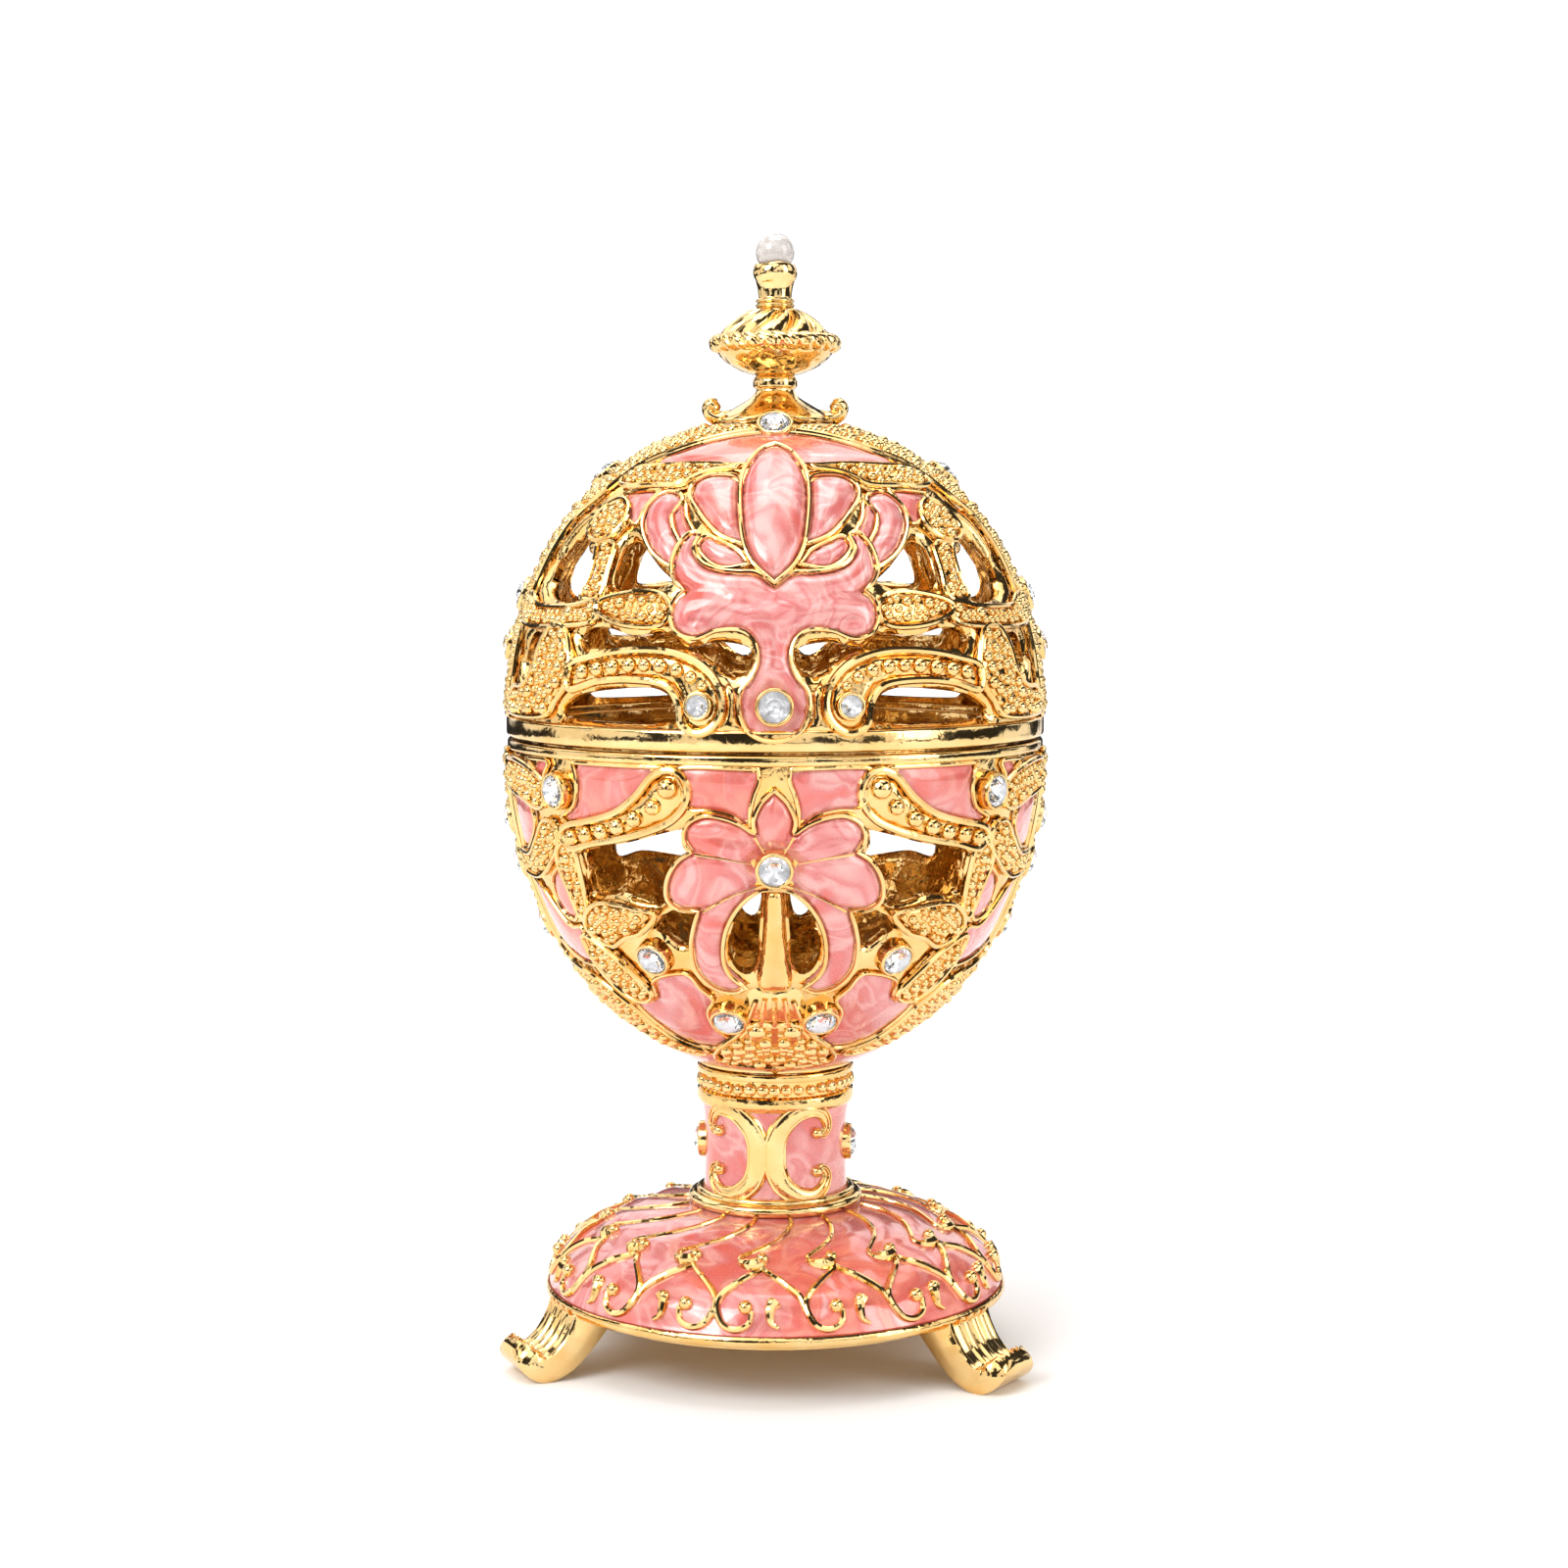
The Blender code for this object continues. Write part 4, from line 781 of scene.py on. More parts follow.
def bezelProfile(radius):
    inner, outer, top = radius - 0.03 * mm, radius + bezel["wall"], bezel["height"]
    roll = bezel["wall"] * 0.5
    profile = [(outer + 0.15 * mm, bezel["root"]), (outer + 0.05 * mm, top * 0.45)]
    for s in range(7):
        a = radians(180 * s / 6)
        profile.append((outer - roll + roll * cos(a), top - roll * 0.7 + roll * 0.9 * sin(a)))
    profile += [(inner, top * 0.45), (inner * 0.5, top * 0.2), (0.02 * mm, top * 0.1),
                (0.02 * mm, bezel["root"])]
    return profile


def stoneShape(radius):
    points, faces = [], []

    def ring(count, reach, z, start):
        first = len(points)
        points.extend((reach * radius * cos(2 * pi * (k + start) / count),
                       reach * radius * sin(2 * pi * (k + start) / count), z * radius) for k in range(count))
        return [first + k for k in range(count)]

    table = ring(8, cut["table"], cut["crown"], 0)
    star = ring(8, cut["star"], cut["crown"] * 0.62, 0.5)
    upper = ring(16, 1.0, 0.04, 0)
    lower = ring(16, 1.0, -cut["girdle"] + 0.04, 0)
    mid = ring(8, 0.52, -cut["depth"] * 0.5, 0.5)
    culet = ring(8, 0.12, -cut["depth"], 0)
    for k in range(8):
        m = (k + 1) % 8
        faces.append([table[k], star[k], table[m]])
        faces.append([star[k - 1], upper[2 * k], star[k], table[k]])
        faces.append([star[k], upper[2 * k], upper[2 * k + 1]])
        faces.append([star[k], upper[2 * k + 1], upper[(2 * k + 2) % 16]])
        faces.append([lower[2 * k], lower[2 * k + 1], mid[k]][::-1])
        faces.append([lower[2 * k + 1], lower[(2 * k + 2) % 16], mid[k]][::-1])
        faces.append([mid[k - 1], lower[2 * k], mid[k], culet[k]][::-1])
        faces.append([mid[k], culet[m], culet[k]])
    for k in range(16):
        m = (k + 1) % 16
        faces.append([upper[k], lower[k], lower[m], upper[m]])
    faces.append(table)
    faces.append(culet[::-1])
    return np.array(points), faces


# The foil's shallow dish, as shares of the stone's radius
foilLine = [(0.99, -0.09), (0.53, -0.24), (0.13, -0.40), (0, -0.41), (0, -0.46), (0.2, -0.45), (1.0, -0.16)]


def foilShape(radius):
    return turnedMesh([(max(radius * r, 0.01 * mm), radius * z) for r, z in foilLine], 8)


def addSetting(pieces, here, out, radius, spin):
    turnTo = np.array(Vector(out).to_track_quat("Z", "Y").to_matrix() @ Matrix.Rotation(spin, 3, "Z"))
    shapes = (turnedMesh(bezelProfile(radius), 24), stoneShape(radius), foilShape(radius))
    for piece, (points, faces), lift in zip(pieces, shapes, (0, bezel["seat"], bezel["seat"])):
        piece.add((points + [0, 0, lift]) @ turnTo.T + np.array(here), faces)


stoneSizes = {"large": 1.55 * mm, "small": 1.08 * mm}
lidStones = [(0, 75.4, "large", 0), (0, 6.5, "large", 0), (15, 6.6, "small", None), (90, 54, "large", 90),
    (90, 24.5, "large", 90), (90, 15, "large", 90)]
bowlStones = [(0, 18, "large", 0), (50.5, 6.9, "large", None), (31, 35, "large", None),
    (14, 48.6, "large", None), (90, 13.6, "large", 90), (90, 21.4, "large", 90), (90, 33, "large", 90)]


# Each stone is spun differently; those at the finial's foot stand off and lean outward
topStone = {"rise": 70, "lean": 0.55, "off": 0.3 * mm}
stoneLevel = 0.20 * mm


def addStones(pieces, half, places):
    for index, (turn, rise, size, axis) in enumerate(places):
        for sign, shift in copiesOf(axis):
            here, out = eggFrame(half, sign * turn + shift, rise, stoneLevel)
            if rise > topStone["rise"]:
                aside = Vector((here[0], here[1], 0)).normalized()
                here, out = here + aside * topStone["off"], out + aside * topStone["lean"]
            addSetting(pieces, here, out, stoneSizes[size], index * 0.7 + shift * 0.013 + sign * 0.31)


# Petals and bodies swell, fields lie almost flat, leaves are flat and grained; each has a gold line round it
petalLook = {"base": -0.2 * mm, "lift": 1.2 * mm, "wire": 0.24 * mm, "wireLevel": 0.85, "crown": 0.50 * mm,
             "edge": 1.3 * mm, "fine": 0.42 * mm}
fieldLook = {"base": -0.2 * mm, "top": 0.16 * mm, "crown": 0.10 * mm, "edge": 0.9 * mm, "wire": 0.24 * mm,
             "wireLevel": 0.12 * mm, "coarse": 0.8 * mm}
leafLook = {"base": -0.3 * mm, "crown": 0.05 * mm, "edge": 0.5 * mm, "wire": 0.30 * mm, "bead": 0.52 * mm,
            "spread": 0.34}


def addPetal(half, motif, dips=(), creases=()):
    axis, top, points = motif
    top *= petalLook["lift"]
    addPad(half["Enamel"], half, points, axis, petalLook["base"], top, petalLook["crown"], petalLook["edge"],
           petalLook["fine"] if creases else padLook["spacing"], dips, creases)
    addWire(half["GoldLines"], half, points, axis, top * petalLook["wireLevel"], petalLook["wire"])


def addField(half, motif):
    axis, points = motif
    addPad(half["Enamel"], half, points, axis, fieldLook["base"], fieldLook["top"], fieldLook["crown"],
           fieldLook["edge"], fieldLook["coarse"])
    addWire(half["GoldLines"], half, points, axis, fieldLook["wireLevel"], fieldLook["wire"])


def addFlat(half, points, axis, top, spacing):
    addPad(half["Casting"], half, points, axis, leafLook["base"], top, leafLook["crown"], leafLook["edge"],
           spacing)


def addLeaf(half, motif, seed, size, spread=leafLook["spread"]):
    axis, lift, points = motif
    lift *= mm
    addFlat(half, points, axis, lift, fieldLook["coarse"])
    addWire(half["GoldLines"], half, points, axis, lift + 0.06 * mm, leafLook["wire"])
    radius = leafLook["bead"] * size
    spots = packedBeads(half, points, axis, radius, leafLook["wire"] + radius * 0.6, seed, spread)
    if axis is None:
        addBeads(half["Beads"], half, spots, axis, radius, lift + 0.02 * mm)
        return
    spots = [(u, v, s) for u, v, s in spots if (u - axis) * (1 if axis == 0 else -1) > 0.2]
    for sign in (1, -1):
        twins = [(axis + (u - axis) * sign, v, s) for u, v, s in spots]
        addBeads(half["Beads"], half, twins, axis, radius, lift)


# An arm curls from a side knot towards the middle, with a thick gold line and a row of large beads
def addArm(half, points, beads, level, radius, beadLevel):
    addFlat(half, points, None, 0.28 * mm, 0.7 * mm)
    addWire(half["GoldLines"], half, points, None, level, 0.42 * mm)
    addBeads(half["Beads"], half, beads, None, radius, beadLevel)


def addRimBand(half, inner, outer, low, high, bevel):
    half["GoldLines"].add(*turnedMesh(roundedBand(inner, outer, low, high, bevel), 180))


# The two halves keep their pieces beside their shape
lid, bowl = egg["lid"], egg["bowl"]
halfPieces = ("Casting", "GoldLines", "Beads", "Enamel", "Bezels", "Stones", "Foils")
settingPieces = halfPieces[-3:]
for start, half in (("lid", lid), ("bowl", bowl)):
    half.update({kind: Piece(start + kind) for kind in halfPieces})

# The lid
lidRim = {"out": 0.35 * mm, "top": 2.35 * mm, "bevel": 0.42 * mm}
stoneDip = (1.9 * mm, 0.05 * mm)
addCasting(lid["Casting"], lid, lidWindows, 1.0)
print("lid casting laid out")
addRimBand(lid, egg["radius"] - egg["wall"], egg["radius"] + lidRim["out"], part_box("egg_lid")[0].z,
           seamZ + lidRim["top"], lidRim["bevel"])
for motif in lidPetals.values():
    addPetal(lid, motif)
addPetal(lid, lidBody, [(0, 6.5, *stoneDip)], bodyCreases)
for motif in lidFields.values():
    addField(lid, motif)
for seed, (name, motif) in enumerate(lidLeaves.items()):
    addLeaf(lid, motif, seed, 1.05 if name in ("side", "knot") else 0.9)
addArm(lid, lidArm, lidArmBeads, 0.42 * mm, 0.80 * mm, 0.40 * mm)
addPad(lid["Casting"], lid, lidWeb, None, leafLook["base"], 0.12 * mm, 0.1 * mm, leafLook["edge"])
addStones([lid[kind] for kind in settingPieces], lid, lidStones)
print("lid laid out")

# The bowl
bowlRim = {"out": 0.25 * mm, "low": 1.25 * mm, "bevel": 0.3 * mm}
lip = {"gap": 0.3 * mm, "thick": 0.9 * mm, "low": 1.4 * mm, "bevel": 0.2 * mm}
foldLook = {"level": 0.52 * mm, "wire": 0.30 * mm}
creaseWire = {"level": 0.72 * mm, "wire": 0.17 * mm}
addCasting(bowl["Casting"], bowl, bowlWindows, 2.0)
lipOuter = egg["radius"] - egg["wall"] - lip["gap"]
addRimBand(bowl, lipOuter, egg["radius"] + bowlRim["out"], seamZ - bowlRim["low"], seamZ - egg["seamGap"] / 2,
           bowlRim["bevel"])
addRimBand(bowl, lipOuter - lip["thick"], lipOuter, seamZ - lip["low"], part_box("egg_bowl")[1].z, lip["bevel"])
addPetal(bowl, bowlFlower, [(0, 18, *stoneDip)], flowerCreases)
for line in flowerCreases[:3]:
    addWire(bowl["GoldLines"], bowl, line, None, creaseWire["level"], creaseWire["wire"], False,
            lambda t: 0.35 + 0.65 * t)
addPad(bowl["Casting"], bowl, bowlTongue[2], bowlTongue[0], leafLook["base"], bowlTongue[1] * mm, 0.35 * mm,
       1.2 * mm, 0.4 * mm)
for motif in bowlFields.values():
    addField(bowl, motif)
for seed, motif in enumerate(bowlLeaves.values()):
    addLeaf(bowl, motif, 20 + seed, 0.95)
addLeaf(bowl, bowlFan, 40, 1.35, 0.5)
addPad(bowl["GoldLines"], bowl, bowlFolds[0], 0, petalLook["base"], 0.3 * mm, 0.25 * mm, 1.0 * mm)
for line, axis in zip(bowlFolds[1:], (0, None, None)):
    addWire(bowl["GoldLines"], bowl, line, axis, foldLook["level"], foldLook["wire"], False)
addArm(bowl, bowlArm, bowlArmBeads, 0.36 * mm, 0.86 * mm, 0.42 * mm)
addStones([bowl[kind] for kind in settingPieces], bowl, bowlStones)
print("bowl laid out")

# The pedestal: a domed foot on three scroll feet, a stem and a beaded collar
pedestal = {
    "turn": -5.0,
    "stem": 7.75 * mm, "stemFoot": 17.3 * mm, "stemTop": 27.7 * mm,
    "collar": 8.5 * mm, "collarTop": 31.1 * mm, "bore": 5.6 * mm, "plate": 3.0 * mm,
    "foot": 24.5 * mm, "rim": 24.95 * mm, "clearance": 6.4 * mm, "rimHeight": 1.3 * mm, "rise": 8.2 * mm,
    "wall": 1.8 * mm, "skin": 0.3 * mm, "wire": 0.34 * mm, "repeats": 16, "cellTurn": -3.6,
}
domeLine = [(0.36, 1.0), (0.53, 0.91), (0.69, 0.77), (0.84, 0.56), (0.945, 0.3), (1.0, 0.0)]
domeProfile = smoothProfile(domeLine, 10)
domeRadii = np.array([pedestal["foot"] * r for r, _ in domeProfile])
domeHeights = np.array([pedestal["clearance"] + pedestal["rimHeight"] + pedestal["rise"] * h
                        for _, h in domeProfile])
domeLength = np.concatenate([[0], np.cumsum(np.hypot(np.diff(domeRadii), np.diff(domeHeights)))])


# The net of wires on the dome in one cell. The swept line ends in a curl and is (turn, radius), the heart
# and the comma under it are (share of the cell, radius), with the radii in millimetres.
swirlLine = [(13.4, 9.4), (12.8, 10.3), (9.4, 12.5), (3.2, 14.8), (-4.0, 16.5), (-7.8, 17.5), (-7.2, 18.3),
             (-4.0, 18.7), (-1.2, 18.5), (-0.2, 18.1)]
heartLeft = [(0.5, 19), (0.37, 20), (0.18, 21.2), (0.04, 22.3), (0.01, 23.2), (0.09, 24), (0.24, 24.25),
    (0.38, 24), (0.41, 23.4)]
heartRight = [(0.5, 19), (0.62, 20.1), (0.79, 21.2), (0.94, 22.2), (1, 23.2)]
commaLine = [(0.66, 22.8), (0.61, 23.3), (0.62, 23.9), (0.7, 24.15)]
# Radii in millimetres between which the blades and the hearts rise and fade, and how high they stand
relief = {"bladeFrom": 9.8, "bladeFull": 14.3, "bladeFade": 16.8, "border": 19.4, "heartFull": 20.6,
          "heartFade": 23.4, "heartTo": 24.3, "blade": 0.50, "heart": 0.32}


def between(value, start, end):
    return np.clip((value - start) / (end - start), 0, 1)


# Blades between the swept lines stand higher at their left edge; each heart swells a little
def domeRelief(turn, radius):
    cell, r = 360 / pedestal["repeats"], radius / mm
    line = np.interp(r, [r for _, r in swirlLine[:6]], [u for u, _ in swirlLine[:6]])
    share = ((turn - pedestal["cellTurn"] - line) / cell) % 1.0
    upper = between(r, relief["bladeFrom"], relief["bladeFull"])
    upper = upper * between(r, relief["border"], relief["bladeFade"])
    blade = np.sin(pi * np.clip(share, 0, 1)) ** 0.8 * (1.15 - 0.75 * share)
    middle = ((turn - pedestal["cellTurn"]) / cell + 0.5) % 1.0 - 0.5
    lower = between(r, relief["border"], relief["heartFull"])
    lower = lower * between(r, relief["heartTo"], relief["heartFade"])
    heart = np.cos(pi * np.clip(middle * 1.05, -0.5, 0.5))
    return (relief["blade"] * upper * blade + relief["heart"] * lower * heart) * mm


# A place on the dome from its turn and radius, moved out along the surface's own direction
def domePoints(turn, radius, lift=0.0):
    turn, radius = np.asarray(turn, float), np.asarray(radius, float)
    lift = lift + domeRelief(turn, radius)
    turn = np.radians(turn)
    along = np.interp(radius, domeRadii, domeLength)
    z = np.interp(along, domeLength, domeHeights)
    step = 0.3 * mm
    r1, r2 = np.interp(along - step, domeLength, domeRadii), np.interp(along + step, domeLength, domeRadii)
    z1, z2 = (np.interp(along + aside, domeLength, domeHeights) for aside in (-step, step))
    size = np.hypot(r2 - r1, z2 - z1)
    outR, outZ = (z1 - z2) / size, (r2 - r1) / size
    r, z = radius + outR * lift, z + outZ * lift
    return np.stack([r * np.sin(turn), -r * np.cos(turn), z], axis=-1)


def stemPoints(turn, share, lift=0.0):
    turn, share = np.radians(np.asarray(turn, float)), np.asarray(share, float)
    waist = 0.10 * mm * np.sin(np.clip(share, 0, 1) * pi) - 0.4 * mm * np.clip((share - 0.6) / 0.4, 0, 1) ** 2
    r = pedestal["stem"] - waist + lift
    z = pedestal["stemFoot"] + (pedestal["stemTop"] - pedestal["stemFoot"]) * share
    return np.stack([r * np.sin(turn), -r * np.cos(turn), z], axis=-1)


def curvePoints(points, parts=6):
    return np.array(smoothProfile(points, parts))


def addCurve(piece, surface, points, radius, level, taper, sides=8, flatten=1.0):
    line = curvePoints(points)
    centres = surface(line[:, 0], line[:, 1], level)
    outs = surface(line[:, 0], line[:, 1], level + mm) - centres
    size = taper(np.linspace(0, 1, len(line)))
    piece.add(*wireMesh(centres, outs / mm, radius, False, sides, flatten, size))


def addBall(piece, surface, turn, along, radius, level):
    here = surface(turn, along, level)
    addBead(piece, here, surface(turn, along, level + mm) - here, radius, 1.0, ballShape)



# Balls at the tips of the hearts, as (share of the cell, radius, size, level) in millimetres
heartBalls = [(0.34, 23.2, 0.74, 0.18), (0.63, 22.9, 0.62, 0.15)]


# Left of the front the hearts are turned the other way round
def addDomeLines(piece):
    cell, wire, level = 360 / pedestal["repeats"], pedestal["wire"], 0.1 * mm
    for k in range(pedestal["repeats"]):
        middle = pedestal["cellTurn"] + cell * k
        addCurve(piece, domePoints, [(middle + u, r * mm) for u, r in swirlLine], wire, level,
                 lambda t: 0.8 + 1.35 * between(t, 0.62, 0.78) - 0.9 * between(t, 0.88, 1.0))
        addBall(piece, domePoints, middle - 0.4, 18.0 * mm, 0.66 * mm, 0.20 * mm)
        flip = -1 if (middle + 180) % 360 < 172 else 1
        for line, thick, taper in ((heartLeft, 1.0, lambda t: 0.85 + 0.35 * np.sin(pi * t)),
                                   (heartRight, 1.0, lambda t: 0.85 + 0.35 * np.sin(pi * t)),
                                   (commaLine, 1.9, lambda t: 1.15 - 0.85 * t)):
            path = [(middle + flip * cell * (a - 0.5), r * mm) for a, r in line]
            addCurve(piece, domePoints, path, wire * thick, level, taper)
        for share, radius, size, lift in heartBalls:
            turn = middle + flip * cell * (share - 0.5)
            addBall(piece, domePoints, turn, radius * mm, size * mm, lift * mm)


# A scroll on the stem, from its upper curled tip round its back to the lower one, as (turn, share of height)
scrollLine = [(41, 0.7), (48, 0.68), (52, 0.76), (47, 0.88), (37, 0.95), (24, 0.92), (13, 0.79),
    (7.4, 0.64), (6.4, 0.5), (7.4, 0.34), (13, 0.18), (25, 0.07), (38, 0.05), (48, 0.13), (52, 0.25),
    (47, 0.33), (41, 0.3)]


scroll = {"turn": -2, "wire": 0.92 * mm, "ridges": (-0.62 * mm, 0.1 * mm, 0.72 * mm), "ridge": 0.16 * mm,
          "ball": 0.62 * mm, "ballLevel": 0.28 * mm}


def scrollSwell(t):
    return 0.42 + 0.95 * np.sin(pi * np.clip(t, 0, 1)) ** 1.7


def addSideRidge(piece, line, aside):
    path = curvePoints(line)
    level = 0.40 * mm - abs(aside) * 0.18
    centres = stemPoints(path[:, 0], path[:, 1], level)
    outs = stemPoints(path[:, 0], path[:, 1], level + mm) - centres
    across = np.cross(np.gradient(centres, axis=0), outs)
    across /= np.linalg.norm(across, axis=1)[:, None]
    size = scrollSwell(np.linspace(0, 1, len(path)))
    centres = centres + across * (aside * size)[:, None]
    piece.add(*wireMesh(centres, outs / mm, scroll["ridge"], False, 6, 1.0, size))


def addStemLines(piece):
    for base, sign in ((0, 1), (0, -1), (180, 1), (180, -1)):
        line = [(base + pedestal["turn"] + scroll["turn"] + sign * u, share) for u, share in scrollLine]
        addCurve(piece, stemPoints, line, scroll["wire"], 0.0, scrollSwell, 12, 0.5)
        for aside in scroll["ridges"]:
            addSideRidge(piece, line, aside)
        for turn, share in (line[0], line[-1]):
            addBall(piece, stemPoints, turn, share, scroll["ball"], scroll["ballLevel"])


def pedestalCasting():
    skin, wall, bore, rim, foot = (pedestal[name] for name in ("skin", "wall", "bore", "rim", "foot"))
    plate, top = pedestal["collarTop"] - pedestal["plate"], pedestal["collarTop"] - 0.02 * mm
    outer = [(bore, top), (pedestal["stem"] - skin, top), (pedestal["stem"] - skin, pedestal["stemFoot"])]
    outer += [(r - skin * 1.1, z - skin * 1.5) for r, z in zip(domeRadii, domeHeights)]
    low, high = pedestal["clearance"], pedestal["clearance"] + pedestal["rimHeight"]
    for s in range(7):
        a = radians(60 - 150 * s / 6)
        outer.append((rim - 0.5 * mm + 0.5 * mm * cos(a), (low + high) / 2 + 0.62 * mm * sin(a)))
    inner = [(foot - wall * 0.8, low)]
    for r, z in list(zip(domeRadii, domeHeights))[::-1]:
        inner.append((max(r - wall * (0.8 if r > foot * 0.9 else 0.45), bore), z - wall))
    inner += [(bore, domeHeights[0] - wall), (bore, plate), (0.02 * mm, plate), (0.02 * mm, top)]
    return outer + inner


def collarProfile():
    r, low, top = (pedestal[name] / mm for name in ("collar", "stemTop", "collarTop"))
    core, groove = 6.2, r - 0.55
    profile = [(core, top), (r - 0.35, top), (r - 0.08, top - 0.12), (r, top - 0.42), (r - 0.1, top - 0.72),
               (groove, top - 0.9), (groove, low + 0.95), (r - 0.1, low + 0.72), (r, low + 0.25),
               (r - 0.06, low - 0.35), (r - 0.4, low - 0.7), (core, low - 0.7)]
    return [(x * mm, z * mm) for x, z in profile]


# Each foot between its under line and its upper line, as (radius, height) pairs in millimetres
footUnder = [(19.6, 7), (20.6, 5.6), (21.9, 4), (23.3, 2.4), (24.9, 1), (26.5, 0.2), (28, 0), (29.3, 0.5),
    (30.3, 1.4), (30.8, 2.5), (30.6, 3.5)]
footUpper = [(24.6, 7.2), (24.9, 6.2), (25.4, 5.2), (26.1, 4.1), (27, 3.2), (27.7, 2.8), (28.2, 2.8),
    (28.6, 3.1), (29, 3.6), (29.4, 4), (29.9, 4.1)]


footLook = {"columns": 45, "width": 8.4, "narrow": 1.2, "tip": 3.4, "tipFrom": 0.7, "reedEnd": 0.56,
            "grainStart": 0.5, "blend": 0.08, "rail": 0.70, "sink": 0.42 * mm, "reed": 0.55,
            "reedWidth": 0.76, "grain": 0.6, "underside": (0.99, 0.9, 0.4, -0.4, -0.9, -0.99)}


def ramped(value):
    return min(max(value, 0), 1)


# Reeds run down a foot to its bend, and fine waves cover its turned tip, both between two side rails
def addFoot(piece, turn):
    under, upper = curvePoints(footUnder, 7) * mm, curvePoints(footUpper, 7) * mm
    count, columns, blend = len(under), footLook["columns"], footLook["blend"]
    matrix = np.array(Matrix.Rotation(radians(turn - 90), 3, "Z"))
    points = []
    for i in range(count):
        t = i / (count - 1)
        tip = footLook["tip"] * (max(0.0, t - footLook["tipFrom"]) / (1 - footLook["tipFrom"])) ** 2
        width = (footLook["width"] - footLook["narrow"] * t - tip) * mm
        across = upper[i] - under[i]
        out = across / max(np.linalg.norm(across), 1e-6)
        reeds = ramped((footLook["reedEnd"] - t) / blend)
        grains = ramped((t - footLook["grainStart"]) / blend)
        for j in range(columns):
            u = j / (columns - 1) * 2 - 1
            edge = min((1 - abs(u)) / (blend + 0.34 * max(0.0, t - 0.6)), 1)
            rail = 1 - ramped((abs(u) - footLook["rail"]) / blend)
            reed = abs(sin(2 * pi * u / footLook["reedWidth"])) ** 0.8 * footLook["reed"] * reeds
            wave = 0.5 + 0.5 * sin(44 * t + 5 * sin(8 * u)) * cos(10.5 * u + 7 * t)
            sink = -footLook["sink"] * rail * (reeds + grains) * min(t / 0.06, 1)
            lift = sink + (reed + wave * footLook["grain"] * grains) * rail * mm
            spot = upper[i] + out * lift - across * 0.5 * (1 - sqrt(1 - (1 - edge) ** 2))
            points.append((spot[0], width / 2 * u, spot[1]))
        for u in footLook["underside"]:
            spot = under[i] + across * (0.2 if abs(u) > 0.95 else 0.0)
            points.append((spot[0], width / 2 * u, spot[1]))
    points = np.array(points)
    points[:, 2] = np.maximum(points[:, 2], 0)
    size = columns + len(footLook["underside"])
    ends = [list(range(size)), list(range((count - 1) * size, count * size))[::-1]]
    piece.add(points @ matrix.T, gridFaces(count, size, False) + ends)


def addDomeSkin(piece):
    sides, rows = 384, 64
    radii = np.interp(np.linspace(0, domeLength[-1], rows), domeLength, domeRadii)
    turns = np.linspace(0, 360, sides, endpoint=False)
    spread = np.meshgrid(turns, radii, indexing="ij")
    upper = domePoints(spread[0].ravel(), spread[1].ravel())
    lower = np.stack([upper[:, 0] * 0.985, upper[:, 1] * 0.985, upper[:, 2] - 0.7 * mm], axis=1)
    faces = gridFaces(sides, rows, True, False, True)
    faces += [[len(upper) + k for k in face[::-1]] for face in faces]
    for i in range(sides):
        for row in (0, rows - 1):
            a, b = i * rows + row, (i + 1) % sides * rows + row
            faces.append([a, b, len(upper) + b, len(upper) + a])
    piece.add(np.concatenate([upper, lower]), faces)


pedestalCast, pedestalWires = Piece("pedestalCasting"), Piece("pedestalGoldLines")
pedestalEnamel, pedestalFeet = Piece("pedestalEnamel"), Piece("pedestalFeet")
stem = {kind: Piece("stem" + kind) for kind in settingPieces}
pedestalCast.add(*turnedMesh(pedestalCasting(), 160))
addDomeSkin(pedestalEnamel)
stemSpots = [stemPoints(0, share) for share in np.linspace(0, 1, 13)]
stemSkin = [(float(hypot(x, y)), float(z)) for x, y, z in stemSpots]
stemSkin += [(pedestal["stem"] - 0.6 * mm, z) for _, z in stemSkin[::-1]]
pedestalEnamel.add(*turnedMesh(stemSkin, 96))
# Two rings round the stem's foot, as (height over it, radius, thickness) in millimetres
stemRings = [(-0.75, 8.75, 0.66), (0.0, 8.1, 0.42)]
ringTurns = np.linspace(0, 2 * pi, 120, endpoint=False)
for z, radius, thick in stemRings:
    centres = np.stack([radius * mm * np.sin(ringTurns), -radius * mm * np.cos(ringTurns),
                        np.full(len(ringTurns), pedestal["stemFoot"] + z * mm)], axis=1)
    outs = np.tile([0.0, 0.0, 1.0], (len(ringTurns), 1))
    pedestalWires.add(*wireMesh(centres, outs, thick * mm, True, 10))
addDomeLines(pedestalWires)
addStemLines(pedestalWires)
pedestalCast.add(*turnedMesh(collarProfile(), 128))
dice = random.Random(7)
collarBeads = 38
for k in range(collarBeads):
    turn = 360 / collarBeads * (k + dice.uniform(-0.12, 0.12))
    out = np.array([sin(radians(turn)), -cos(radians(turn)), 0])
    here = out * (pedestal["collar"] - 0.42 * mm)
    here[2] = (pedestal["stemTop"] + pedestal["collarTop"]) / 2 + dice.uniform(-0.08, 0.08) * mm
    addBead(pedestalWires, here, out, dice.uniform(0.58, 0.76) * mm, 0.7)
for k in range(3):
    addFoot(pedestalFeet, 180 + pedestal["turn"] + 120 * k)
for sign in (1, -1):
    turn = sign * 90 + pedestal["turn"]
    out = (sin(radians(turn)), -cos(radians(turn)), 0)
    addSetting(stem.values(), stemPoints(turn, 0.5, -0.25 * mm), out, stoneSizes["large"], 0.3)
print("pedestal laid out")

